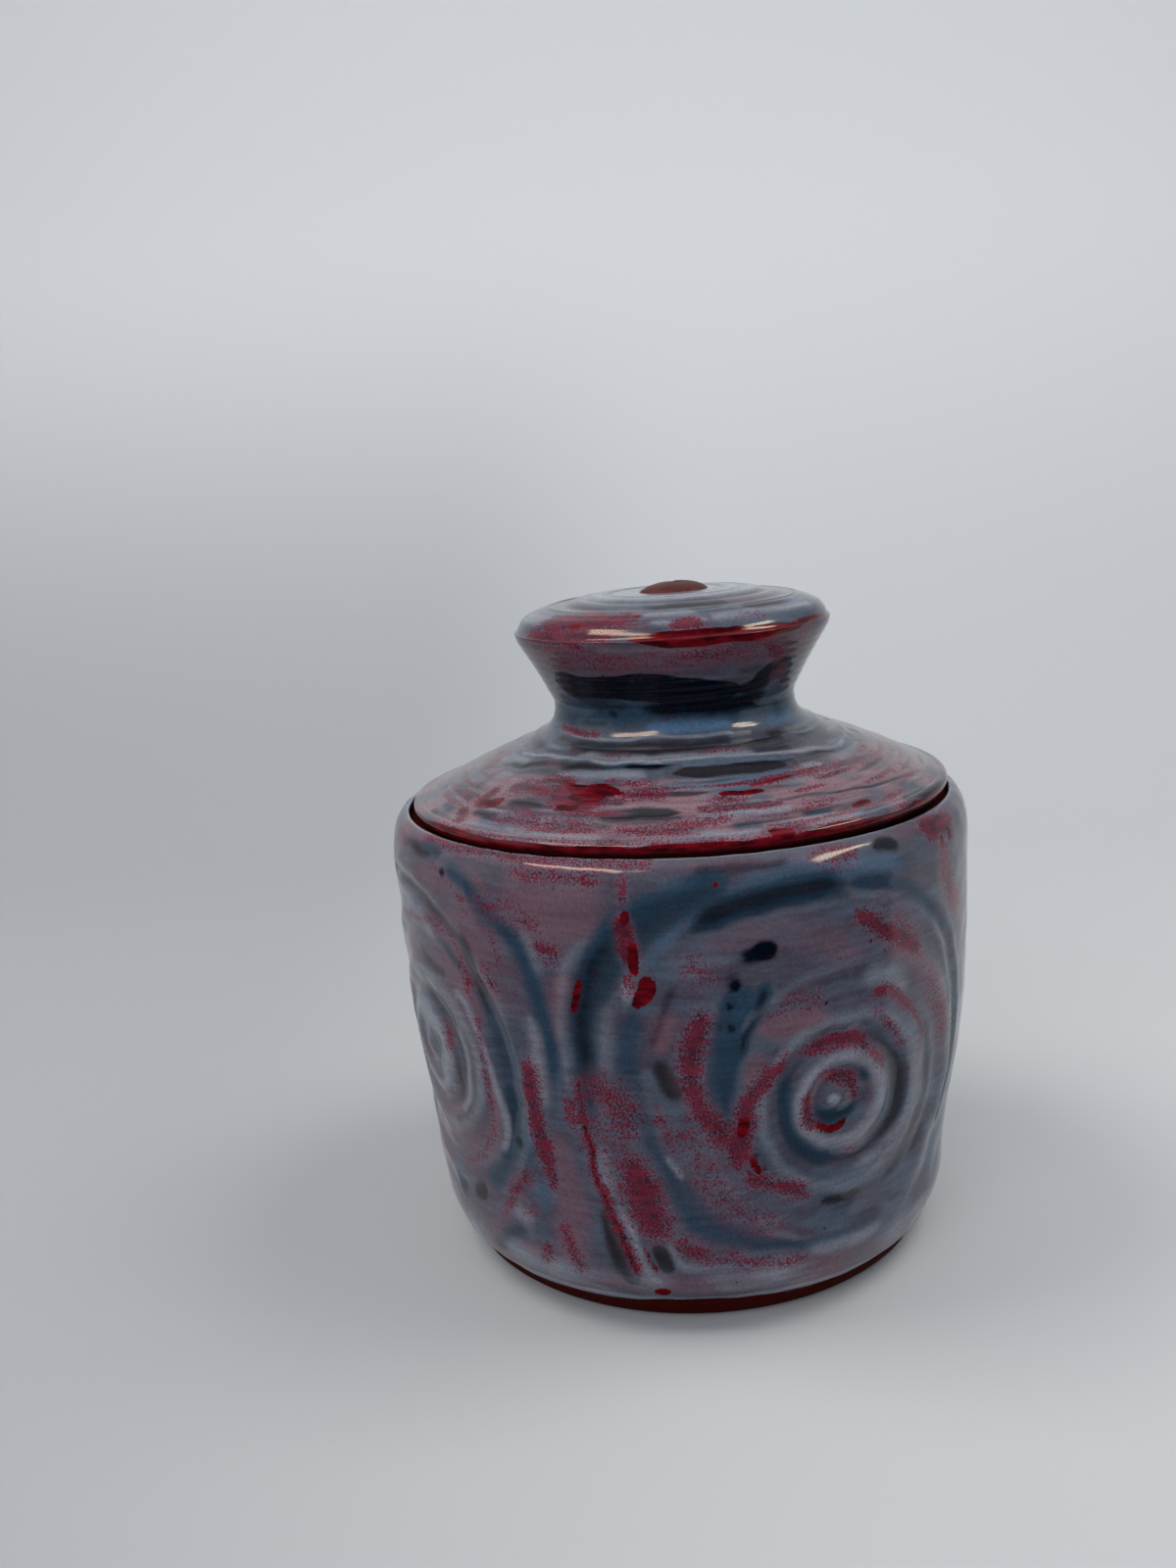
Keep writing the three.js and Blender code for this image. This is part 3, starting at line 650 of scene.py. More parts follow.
# The lid: degrees, mm up the dome from the lid's widest edge.
LID_STROKES = read_strokes("""
groove 1.2 0.5 -84 30 1.4, -70 29, -58 30.5, -50 32.5, -45 34, -38 34.5, -30 35.3, -20 35.2, -10 35.3, 0 35,
    10 35.4, 20 34.8, 30 33.4, 42 31.8, 55 30, 70 29.4, 88 30
groove 1 -0.5 -84 37, -60 36.5 0.6, -50 37.5, -40 38.3, -30 38, -22 37.2, -15 37.8, 0 37.7, 6 38, 12 38.6,
    20 38, 28 37, 35 36, 42 34.5, 50 33, 57 31.6, 70 32, 88 34
groove 1.2 0.55 -2 31 2, 5 31.5 2.4, 15 31.5, 25 31.3, 35 30.5 2
groove 1 0.3 37 29.6 1.2, 52 28.6, 70 27
groove 1.2 0.45 -78 12 1.4, -60 12.5, -50 13, -38 14, -20 14.2 1.6, -10 14.2, 2 13.8
groove 1 0.35 -15 24.3 0.9, -8 24, 0 23, 8 22.3, 20 22, 40 21, 60 19, 80 18
groove 0.8 0.4 22 16 0.6, 28 15.4, 35 14.6, 42 13.6, 50 12.4, 57 11.4, 62 10.6, 66 9.4, 72 8
groove 1 -0.35 -60 20.4 1, -45 18, -30 17.6, -16 17, -8 18, 0 17.5, 8 17, 18 18.4, 35 18.2, 55 16.6
groove 1 -0.3 -70 24, -52 26.4, -38 27.6, -20 30, -8 28
groove 1 0.3 -60 7 1.2, -40 7.6, -20 8.6, 0 8, 20 8, 40 7, 60 5
groove 1 -0.25 -60 10 1, -30 11.4, 0 11.4, 24 12, 44 9.6
olive 3 0.9 -46 42.4 1.6, -30 42, -10 42, 10 42, 30 42, 46 42.4
olive 4 0.6 -60 41 1.6, -80 40, -100 41
olive 4 0.65 26 39.4 1, 40 38.6 1.6, 54 38 1.4
olive 3.4 0.95 -66 30.2 0.8, -54 32 1.4, -44 33.8 1.8, -34 34.6 1.8, -22 35 1.4
ink 1.8 0.95 -18 35 0.7, -10 35.3 1.1, -3 35.2 0.8
teal 2.4 1.1 -26 35.2 0.8, -14 35.4 1.2, -1 35
olive 1.8 1.15 -2 31 1.6, 5 31.5 2.3, 15 31.5 2.4, 25 31.3, 35 30.5 2
olive 3 0.7 37 30 1.4, 44 29.8, 52 29.6 1.2
ink 1.2 0.75 17.5 34.3 0.3, 23 33.3, 30 32.5, 40 31.8, 50 31.3, 55 30, 58 28.7
teal 1.8 0.95 -15 24.3 0.5, -8 24 0.6, 0 23
olive 1.8 1.1 -20 14.2 1, -12 14.2 1.6, -4 14.3, 1 14 0.8
olive 2.4 0.8 -50 12.6 0.6, -40 13.4 0.8, -30 13.6, -20 13.6
olive 4 0.95 -45 15.6 1.2, -38 16.6 1.8, -32 16
olive 2 0.9 8 15.6 0.6, 14 15.6 0.9, 22 15.6 0.5
ink 1.2 0.95 22 16 0.3, 28 15.4, 35 14.6, 42 13.6, 50 12.4, 57 11.4, 62 10.6, 66 9.4, 70 8
olive 4 0.85 -76 13 2.6, -65 15 2.8, -56 15 2
olive 3 0.95 -52 10 1, -43 10.4
olive 2.6 0.8 -50 22.6 1, -46 22.8 1.6, -42 22.4 1
olive 2.4 0.75 33 7 0.4, 37 7
olive 5 0.5 50 41 3, 64 38, 80 36
olive 2 0.8 -67 5 0.7, -62 4.6
teal 2.6 0.8 -66 8.2 1, -60 8
teal 2.4 0.9 13 6.5 0.8, 16 6.5
teal 2.6 0.9 10 7.2 0.8, 17 7.4
teal 2.6 0.95 26 8.2 1, 33 8.2
ink 1.6 1.1 51 3.6 0.9, 57 3 1.3, 64 2 1.1, 71 1.2 0.7
teal 1.6 1.5 50 3.6 0.7, 56 3 1.1, 63 1.8 1, 72 0.8 0.6
teal 4 0.45 57 19.4 1.6, 66 18.6, 76 18
blue 3 0.9 0 35.2 1.6, 12 35.6 1.8, 24 35, 35 33.6 1.2
blue 4 0.9 -6 25.2 1.2, 0 25.4 1.8, 12 25.4 2, 24 26.2, 35 26 1.4
blue 3 0.9 -49 7.6 1, -43 7.4 1.4, -36 7.2
blue 3 0.7 -48 4.6 1, -42 4.2
blue 4 0.55 -80 20 2, -70 19
pale 1.4 1.1 -70 35.6 0.4, -60 36.5, -50 37.5 0.5, -40 38.3, -30 38, -22 37.2, -15 37.8, 0 37.7, 6 38,
    12 38.6, 20 38, 28 37, 35 36, 42 34.5, 50 33, 57 31.4, 70 31.6
pale 4 0.62 -40 30 1.2, -30 31.4 2, -18 31.6, -8 30.4 1.6
pale 3 0.8 -42 39.6 0.8, -20 39.4, 0 39.6, 30 39
pale 3 0.8 37 27.2 1, 45 26.8
pale 5 0.6 50 27 1.4, 70 26
pale 3 0.8 3 12 1, 14 12.2, 26 11.6
pale 4 0.4 -45 10 1.6, -30 10, -16 10.4
pale 2 0.8 -67 11.4 0.4, -58 11.6
pale 4 0.7 -80 28 1.6, -68 32, -56 34
pale 4 0.6 -62 25 1.6, -56 26.4
pale 3 0.7 40 4.6 0.8, 26 3.6
pale 3 0.75 -40 5 0.8, -26 5, -14 4.6
pale 3 0.9 2 4 1.2, 9 4.2, 16 3.6
pale 4 0.6 2 20 1, 20 19
pink 2.4 1.1 -16 17 0.6, -8 18 0.8, 0 17.5, 8 17
pink 3 0.95 -17 26.4 0.8, -11 27.2 1.1, -5 26
pink 4 1.1 24 17.5 0.9, 35 16.6 1.2, 50 15 1.6, 60 14.2 2.2, 72 12.4 2.8, 88 11 3
pink 3 1.05 25 13.4 0.7, 33 13, 40 12
pink 4 0.9 33 23.8 1.1, 46 23.6, 60 22.6, 76 21.6
pink 3 0.8 -2 4.8 1, 8 5.2, 17 4.4
pink 4 0.9 -71 22 1, -67 24.6 1.4, -64 27
pink 5 0.85 -83 34 1.8, -78 29 2
pink 5 0.7 -56 17 2.2, -52 20
pink 5 0.6 -80 4.6 1.4, -66 3.4, -52 3.4, -30 2.6
pink 5 0.55 -40 22.5 1, -30 24, -24 29
crimson 1.6 0.55 -44 41 0.3, -38 40.8
crimson 1.4 0.5 -30 40.6 0.2, -15 40.6
crimson 1.4 0.5 5 40.8 0.2, 16 40.8, 28 40.2
crimson 2 0.6 -48 35 0.4, -42 34.6
crimson 4 0.6 -68 14 1.4, -60 14.6 1.8, -52 15 1.2
crimson 4 1.25 -42 28.2 0.8, -37 28 1, -33 27 1.2, -29 25.5
crimson 5 1.2 -34 25 2, -31 22 3, -28 18.6 2.4
crimson 3.5 1.2 -28 26 1.4, -24 21.4 2.6, -20 20 2, -16.4 22.6 1.4
crimson 3 1.2 -30 17.4 1.6, -24 17.2 2, -20 18 1.2
crimson 4 0.95 -50 24 1, -44 24.4 1.4, -37 22 2, -34 20
crimson 4 0.75 -50 20.4 1, -42 20
crimson 3.5 1 -16 22.4 1, -8 22 1.3, -2 21.4 0.8
olive 2.6 0.75 -30 18.6 0.6, -22 18.2 1, -12 18.6 0.8
olive 2 0.8 -18 12 0.6, -8 11.4 1, 2 11.6 0.6
olive 2 0.7 16 10 0.5, 26 9.6 0.8, 38 9 0.5
olive 3 0.8 -28 10 0.8, -20 10 1.2, -13 10.2 0.7
teal 3 0.6 26 9.6 0.8, 34 9.4
crimson 3 0.75 -17 27 0.7, -11 27.6 0.9, -5 26.6
crimson 2 0.8 -21 28.3 0.5, -18 28.6
crimson 3 1.2 -53 21 0.9, -53.4 16 1.6, -52.4 12
crimson 2.6 1.15 -57 10 0.8, -55 8, -53.5 6 1, -52 4
crimson 5 0.8 -44 9.6 1.2, -32 9.6, -16 10
crimson 4 0.85 -44 12.4 0.8, -30 12.2
crimson 3.4 0.85 -14.5 9 0.7, -11 8 1, -6 7.4 1.2, 0 8, 4 9.5, 8 10.2, 11 9.8
crimson 3 0.6 12 9.6 0.6, 25 9.4
crimson 2.4 0.9 8 18.8 0.5, 12 18.8
crimson 2 0.95 19 22.8 0.4, 23 23.4 0.6, 27 23.9, 32 24.3
crimson 4 0.85 33 24.3 0.8, 45 24, 60 22.4, 75 21.6
crimson 1.6 0.95 3.5 15 0.3, 7 15.8, 12 17, 17 17.4
crimson 1.6 1 4 14.6 0.4, 10 14, 18 14, 24 14.6
crimson 3 0.7 45 6.6 0.9, 57 6.4
crimson 3 0.7 26 12.6 0.6, 38 11.6
crimson 3 0.8 17 3 1.6, 25 3.4
crimson 3 0.75 46 1.4 0.7, 56 1.2
crimson 2.4 0.75 62.6 16 0.4, 63 12
crimson 2.6 0.8 70 15 0.5, 71 8
crimson 4 0.6 72 18 1, 84 14
crimson 5 0.95 -84 34 1.8, -78 29 2, -70 23 1.4
crimson 3 0.6 -60 2.4 0.8, -40 2.2, -20 2, 0 1.8, 40 2
red 2.6 1.25 -33 25.4 0.5, -29 24.8 1.3, -25 24 1.9, -21.4 24.2 2.6, -18.4 23.6 1.8, -15 23.2 0.9,
    -12 22.6 0.4
red 2.4 1.1 -29 21.8 0.5, -26 21.2 1.3, -21 20.6 1.6, -18 21 0.8
red 1.8 1.05 -29 16.6 0.9, -24 16.2 1.1
red 3 1.1 -46.6 17 1, -48.4 14.6 1.6, -51.5 12.8 1.2, -55 12.6 0.6
red 1.4 1.2 9 20.6 0.7, 13 20.8 1, 18 20.3 0.9, 22 19.8 0.6
red 1.4 1.2 37.5 6.8 0.5, 41 7.5 0.9, 44 7.3 0.7
red 1.4 1.25 17.4 3 1.2, 19 2.4 1.6, 21 1.8 1.1
red 1.4 0.9 18 22.8 0.3, 25 23.8 0.4, 32 24.4
red 2 0.8 -35 27.4 0.5, -29 26.2 0.7
red 2 0.7 -14 22.2 0.4, -4 22
""")

# The knob: degrees, mm along from its foot over the neck, the flare and the bevel to the plate.
# The blue bands about 6 to 8 mm up the neck are slate-blue glaze lightened by a painted sheen.
KNOB_STROKES = read_strokes("""
ink 1.2 1.5 -58 21 2.6, -50 20.6 3.6, -42 19.8 3.3, -30 20 3.4, -20 20 3.7, -10 20 4.4, 0 18.6 4.2,
    10 17.9 3.6, 18 17.3 3.1, 24 17.1 2.3, 28 17 1.4, 31 17.2 0.7
ink 1.6 1.4 30.6 17.6 0.5, 35 18.6 1.6, 40 20.4 2.4, 44 21.6 3, 49 22 2.8, 53 20.6 1.9, 54 18 1.1,
    60 16.6 0.6
crimson 3 0.75 46 20 1, 51 20.4 1.2
ink 2 0.85 -31 11.6 0.6, -27 11.5
ink 1.6 0.75 33 10.6 0.4, 48 10.5, 66 10.4
ink 1.6 0.75 -48 8.8 0.3, -30 8.6
ink 3 0.9 -16 13.4 1, 0 13 1.8, 12 12.8 2, 24 12.6 2.2, 38 13 2.4, 46 14 1.6
ink 3 1.1 24 17 1, 34 17 1.6, 46 19 2
ink 4 0.6 -50 15 2, -34 14.6 2.4, -20 14 2
teal 5 0.8 -150 11 4, -110 11, -70 11, -34 12, -8 13 3.4, 20 12, 46 12, 80 11, 120 11
teal 4 1.25 -12 12.6 1.6, 6 12.4, 20 12 2, 38 12.4, 46 12 1
blue 3 1.15 -14 8 1.2, -4 7.8 1.5, 6 7.8 1.7, 16 7.4 1.6, 27 7 1.2
blue 5 0.9 -55 12.4 2, -36 12.8 2, -20 12
blue 4 0.9 43 6.4 2, 54 6.4, 66 6
blue 3 0.8 58 46.4 1.2, 68 46
blue 3 0.9 33 47.6 0.6, 40 47.6
teal 2.6 0.9 -60 9.8 0.6, -53 9.8
olive 3 0.7 -64 1.6 1.4, -30 1.8, 0 1.8, 26 1.6
olive 3 0.8 38 1.2 1, 52 1.2
olive 2 1.05 28 47.4 0.8, 36 46.6 1.4, 46 46 1.6, 55 46 1
olive 4 0.6 25 23 1.4, 38 23.4
pale 1.2 1 -66 4.8 0.3, -50 4.6, -40 4.2, -30 4, -20 4.2, -12 5, -5 5.2, 0 4.9, 8 4.6, 14 4.2, 27 4.2 0.4
pale 3 0.8 -12 46.6 1, 0 46.8, 10 46.4
pale 4 0.8 12 43 1.2, 34 43.4, 50 42.8, 66 42.6
pale 4 0.75 -80 43 2.4, -62 43.4, -52 44.4 1.4
pale 3 0.5 -30 33 0.6, -4 32.4, 24 31.6
pink 8 1 -140 30 4, -90 30, -40 30, 0 29.6, 40 30, 90 30, 140 30
pale 3 0.7 -8 42.4 1, 2 42.2, 14 42.6
pink 4 0.8 -50 52 2.4, -35 52
pink 4 0.7 26 54 3, 45 53, 65 54
crimson 1.4 0.95 -65 5.4 0.3, -58 5.6 0.5, -50 5.6, -42 5.4, -34 5.2 0.3
crimson 4 0.6 -6 28.6 1.2, 0 28.8, 5 30.2, 12 30.6, 20 30.4, 24 29.5
crimson 4 0.5 -45 28.4 1.2, -37 28.4
crimson 3 0.9 -60 33 0.8, -48 33.4, -30 33.8
crimson 3 0.85 33 32.5 0.7, 37 30 1, 41 28, 44 26, 46 25
crimson 3 0.85 -62 37.4 0.9, -57 37.6 1.2, -52 37.2
crimson 2.4 1 -41 40.6 1.4, -37 40.8 1.8, -33.6 40.6 1.4
crimson 4 0.75 -36 38 1.2, -30 38
crimson 6 1.25 -58 41 1.4, -50 42.4 2.2, -40 43.6 3.2, -30 44, -20 45 2.6, -12 46 1.6
crimson 4 1.15 -66 37 1, -50 37.4 1.8, -34 38 1.6, -20 38.4 1.2
crimson 3 0.42 -70 28.6 1.6, -40 29 2, -10 29.4 2, 20 29.4 2, 44 29 1.6
crimson 3 1.2 0 40.8 0.7, 5 41.6 1.2, 12 40.6 0.6
crimson 5 0.5 -24 42 1.4, -10 41.4 1
crimson 3 0.7 49 33 0.8, 56 33
crimson 3 0.9 -32 50.6 0.8, -20 51.6, -11 52
crimson 3 0.6 24 42.6 0.5, 36 42
red 1.4 1.3 -17 36.8 0.8, -12 36.6 1.8, -6 36.3 2.4, 0 36.2 2.7, 10 36.1, 20 36, 30 35.8, 38 35.9 2.2,
    46 36.2 1.6, 54 36.4 0.8
red 1.8 0.85 38 37 0.6, 50 37.4 0.7, 66 37.2, 90 37 0.5
red 1.6 0.7 -70 35.4 0.4, -60 35.2, -40 35, -14 35.2
red 1.6 1.15 -39 41 0.8, -35 41.4 0.9
red 1.4 1.1 -19 47.8 0.5, -17.4 47.6 0.8
red 1.4 1.1 -14.6 46.4 0.8, -13 46
olive 3 1.2 -6 54.6 1.6, 4 56 2.6, 14 56.4 3, 22 55.4 2.6, 30 53 1.6
olive 4 0.75 -13 53 2.4, -4 53.4
ink 3 0.55 -4 56 1.4, 6 56.6 2, 18 56 1.6
pale 5 0.9 48 66 2.4, 60 65 3, 72 64 2
olive 2 0.9 6 48.8 0.6, 14 49, 22 49
ink 3 0.6 -36 45.8 0.8, -22 45.8
""")


# Glazes in threes, because an attribute carries three values.
LAYERS = (("pink", "pale", "blue"), ("teal", "olive", "ink"), ("crimson", "red", "bare"))
BACK_TURN = 180.0
# Glaze on relief: strength, and the mm from which and at which it is full.
PALE_ON_RAISED, DARK_IN_SUNK = (0.5, 0.1, 0.75), (0.45, 0.25, 1.0)


def mark_relief(grid, gain=1.0):
    """Glaze breaks pale over what stands up and pools dark in what is sunk."""
    raised, *from_to = PALE_ON_RAISED
    grid.mark("pale", raised * gain * step(grid.lift, *from_to))
    sunk, *from_to = DARK_IN_SUNK
    grid.mark("olive", sunk * gain * step(-grid.lift, *from_to))


def keep_on(grid, skin, milky):
    """Leaves glaze colours on the skin only; the rest gets a plain milky glaze."""
    for layer in sum(LAYERS, ()):
        if layer != "bare":
            there = grid.marks.get(layer, np.zeros_like(grid.radius))
            grid.marks[layer] = np.where(skin, there, milky if layer == "pale" else 0.0)


def jar_rows():
    """Foot, wall, rolled lip, gallery and inside of the jar."""
    glaze_line, heel = (GLAZE_LINE_RADIUS, GLAZE_LINE), (HEEL_RADIUS, HEEL_HEIGHT)
    belly = (BELLY_RADIUS, BELLY_HEIGHT)
    wall = bend(heel, (BELLY_RADIUS, BELLY_TURN), belly)
    inside = set_in(wall, WALL)
    inside = inside[inside[:, 1] > FLOOR_TOP + FLOOR_CORNER]
    top, bottom = inside[-1], inside[0]
    lip_top, lip_height = MOUTH_RADIUS + LIP_ROUND, RIM_HEIGHT - LIP_DROP
    angle = np.linspace(0, math.pi / 2, CURVE_POINTS)
    roll = np.column_stack([lip_top + (BELLY_RADIUS - lip_top) * np.cos(angle),
                            SHOULDER_HEIGHT + (LIP_ROLL - LIP_DROP) * np.sin(angle)])
    throat = (THROAT_RADIUS, LEDGE_HEIGHT - LEDGE_THICKNESS)
    recess = FOOT_RADIUS - FOOT_RING - FOOT_RECESS
    bevel_bow = (GLAZE_LINE_RADIUS - FOOT_RADIUS) / 6
    skin = np.concatenate([bow(glaze_line, heel, HEEL_BOW), wall[1:], roll])
    inner = (MOUTH_RADIUS, lip_height - LIP_ROUND)
    return rows_of(
        (line((0, FOOT_RECESS), (recess, FOOT_RECESS)), 9.0),
        (line((recess, FOOT_RECESS), (FOOT_RADIUS - FOOT_RING, 0)), 1.8),
        (line((FOOT_RADIUS - FOOT_RING, 0), (FOOT_RADIUS, 0)), 3.0),
        (bow((FOOT_RADIUS, 0), glaze_line, bevel_bow), 1.3),
        (skin, JAR_ROW),
        (bend((lip_top, lip_height), (MOUTH_RADIUS, lip_height), inner), 0.3),
        (line(inner, (MOUTH_RADIUS, LEDGE_HEIGHT)), 1.0),
        (line((MOUTH_RADIUS, LEDGE_HEIGHT), (THROAT_RADIUS, LEDGE_HEIGHT)), 1.7),
        (line((THROAT_RADIUS, LEDGE_HEIGHT), throat), 3.0),
        (bend(throat, (top[0], throat[1]), top), 2.0),
        (inside[::-1], 8.0),
        (bend(bottom, (bottom[0], FLOOR_TOP), (bottom[0] - FLOOR_CORNER, FLOOR_TOP)), 2.2),
        (line((bottom[0] - FLOOR_CORNER, FLOOR_TOP), (0, FLOOR_TOP)), 7.0),
    )


# From LIP_FROM on, the way up the jar is measured along the lip and not by height: mm.
LIP_FROM, LIP_LENGTH, LIP_CREST, LIP_END = 130.0, 12.0, 136.9, 137.0
# Bands round the jar: layer, strength, middle and half width in mm.
# The pale band just above the glaze line is glaze breaking pale over its rolled edge, with a painted
# highlight on the roll.
JAR_BANDS = (("pink", 0.5, 134, 2.4), ("pale", 0.8, LIP_CREST, 0.7), ("pale", 0.75, GLAZE_LINE + 1.6, 0.9))
# Throwing lines: the mm they climb in a turn, and how far they stand out.
JAR_THREAD, JAR_THREAD_RISE = 3.2, 0.035
# The rolled edge of the glaze: how far it wanders, the glaze's thickness and its roll, all in mm.
GLAZE_WANDER, GLAZE_THICKNESS, GLAZE_ROLL = 0.35, 0.3, 0.35
# How far the thrown wall stands inside the true outline on its left and right, at some heights.
INSET_HEIGHTS = (19, 30, 42, 50, 60, 75, 90, 110, 124)
LEFT_INSET = (0.0, 0.1, 1.0, 1.3, 1.2, 0.8, 0.85, 0.8, 0.3)
RIGHT_INSET = (0.3, 1.1, 1.1, 0.5, 0.1, 0.0, 0.3, 0.3, 0.2)


def jar_body_grid():
    """The jar's grid with its swirls, grooves and throwing lines, and its glazes laid on."""
    grid = Turned(jar_rows(), JAR_COLUMNS)
    turn, height, radius = grid.turn, grid.height, grid.radius
    skin = (grid.out > -0.2) & (height > GLAZE_LINE - 4) & (radius >= FOOT_RADIUS)
    in_mouth = (height < RIM_HEIGHT - LIP_DROP - 0.2) & (radius < MOUTH_RADIUS + 0.15)
    skin &= ~(in_mouth & (height > 60))
    lip_start = grid.along[:, 0][np.argmax(height[:, 0] >= LIP_FROM)]
    on_lip = (grid.along > lip_start) & (height > LIP_FROM - 2)
    up = np.where(on_lip, LIP_FROM + np.minimum(grid.along - lip_start, LIP_LENGTH), height)
    x = grid.degrees + WALL_STRAY[0] * waves(turn, up, 11, 30, 9)
    y = up + WALL_STRAY[1] * waves(turn, up, 12, 30, 9)

    for centre, middle, lean, reach, weight in SWIRLS:
        distance = swirl_distance(x, y, centre, middle, WALL_SCALE, lean, reach)
        for ring, width, rise in SWIRL_RINGS:
            grid.lift += weight * rise * bump(distance, ring, width) * skin
        for layer, strength, ring, width in SWIRL_GLAZES:
            grid.mark(layer, strength * bump(distance, ring, width))

    # The back gets the same brushwork, half a turn on and drawn a little out of shape.
    for turned in (0.0, BACK_TURN):
        back = turned > 0
        paint_x = x + back * 2.5 * waves(turn, up, 31, 120, 60)
        paint_y = y + back * 3.0 * waves(turn, up, 32, 120, 60)
        paint(grid, FRONT_STROKES, paint_x, paint_y, WALL_SCALE, turned)
        paint(grid, LEFT_STROKES, paint_x, paint_y, WALL_SCALE, turned)

    # Carving grows shallow towards the foot and the lip.
    fade = step(height, 12, 24)
    grid.lift *= np.where(skin, np.maximum(fade, 0.25), 0) * step(LIP_END - up, -1.5, 8)
    mark_relief(grid)
    for layer, strength, middle, width in JAR_BANDS:
        grid.mark(layer, strength * bump(up, middle, width))

    # Rose where little was brushed: between the swirls on the left, near the foot and at the back.
    plain = step(-x, 22, 34) * step(x, -95, -70) + step(22 - up, -4, 4) + step(np.abs(x), 90, 120)
    grid.mark("pink", (0.3 + 0.25 * waves(turn, up, 9, 90, 30)) * np.minimum(plain, 1))
    grid.mark("pale", (0.42 + 0.2 * waves(turn, up, 10, 60, 12)) * bump(up, 16, 6))

    # Throwing lines climb in a slow spiral, and the wall is a little out of round.
    strength = 0.5 + 0.5 * waves(turn, height, 5, 60, 25)
    lines = JAR_THREAD_RISE * strength * thread(-turn, height, JAR_THREAD)
    uneven = 0.15 * waves(turn, height, 6, 160, 70) + 0.04 * waves(turn, height, 7, 16, 8)
    left, right = eased(height, INSET_HEIGHTS, LEFT_INSET), eased(height, INSET_HEIGHTS, RIGHT_INSET)
    inset = (left + right) / 2 + (right - left) / 2 * np.sin(turn)
    grid.lift += skin * (lines + uneven - inset)

    # The glaze ends in a rolled edge that wanders a little above the bare foot.
    edge = GLAZE_LINE + GLAZE_WANDER + GLAZE_WANDER * waves(turn, height * 0, 8, 90, 25)
    glazed = step(up, edge - 0.25, edge + 0.35)
    grid.lift += skin * (GLAZE_THICKNESS * glazed + GLAZE_ROLL * bump(up, edge + 1.0, 0.9) * glazed)
    grid.lift *= step(radius, 40, 60)
    ledge = (height > LEDGE_HEIGHT - 0.4) & (height < RIM_HEIGHT - 1.9) & (radius < MOUTH_RADIUS + 0.1)
    foot = (radius < FOOT_RADIUS) & (height < FOOT_RECESS + 0.1)
    # Bare clay below the glaze line, on the foot, the ledge and faces that look down; its dark colour is
    # partly painted shade.
    grid.marks["bare"] = np.where(skin, 1 - glazed, (ledge | foot | (grid.up < -0.2)) * 1.0)
    keep_on(grid, skin, 0.25)
    return grid


def lid_rows():
    """Flange, undercut edge, dome and underside of the lid, as a closed loop."""
    ledge = LEDGE_HEIGHT
    widest = (LID_RADIUS, ledge + LID_EDGE_HEIGHT)
    shoulder = (LID_RADIUS - LID_SHOULDER_WIDTH, ledge + LID_EDGE_HEIGHT + LID_SHOULDER_RISE)
    seat = (KNOB_FOOT_RADIUS, SEAT_HEIGHT)
    dome = bend(shoulder, (DOME_TURN_RADIUS, ledge + DOME_TURN_HEIGHT), seat)
    under = set_in(dome, LID_THICKNESS)
    under = under[(under[:, 0] < FLANGE_BORE) & (under[:, 0] > KNOB_BORE)][::-1]
    root = (FLANGE_BORE, under[-1, 1] - LID_THICKNESS / 2)
    edge_foot = (LID_RADIUS - LID_UNDERCUT, ledge)
    return rows_of(
        (line((FLANGE_BORE, FLANGE_BOTTOM), (FLANGE_RADIUS, FLANGE_BOTTOM)), 2.3),
        (line((FLANGE_RADIUS, FLANGE_BOTTOM), (FLANGE_RADIUS, ledge)), 3.0),
        (line((FLANGE_RADIUS, ledge), edge_foot), 1.9),
        (bend(edge_foot, (LID_RADIUS - 0.1, widest[1] - 1.6), widest), 0.4),
        (bend(widest, (LID_RADIUS, shoulder[1]), shoulder), 0.5),
        (dome, LID_ROW),
        (line(seat, (KNOB_BORE, SEAT_HEIGHT)), 4.0),
        (line((KNOB_BORE, SEAT_HEIGHT), (KNOB_BORE, SEAT_HEIGHT - LID_THICKNESS)), 2.0),
        (np.concatenate([[(KNOB_BORE, SEAT_HEIGHT - LID_THICKNESS)], under]), 2.6),
        (np.array([under[-1], root]), 1.5),
        (line(root, (FLANGE_BORE, FLANGE_BOTTOM)), 3.0),
    )


# The lid's throwing lines: the mm they climb in a turn, and how far they stand out.
LID_THREADS = ((2.1, 0.02), (6.2, 0.04))
# The dome's length in mm, how much of the carving shows there, and how far the dome stands in.
DOME_LENGTH, LID_CARVING, DOME_INSET = 42.7, 0.35, 0.7


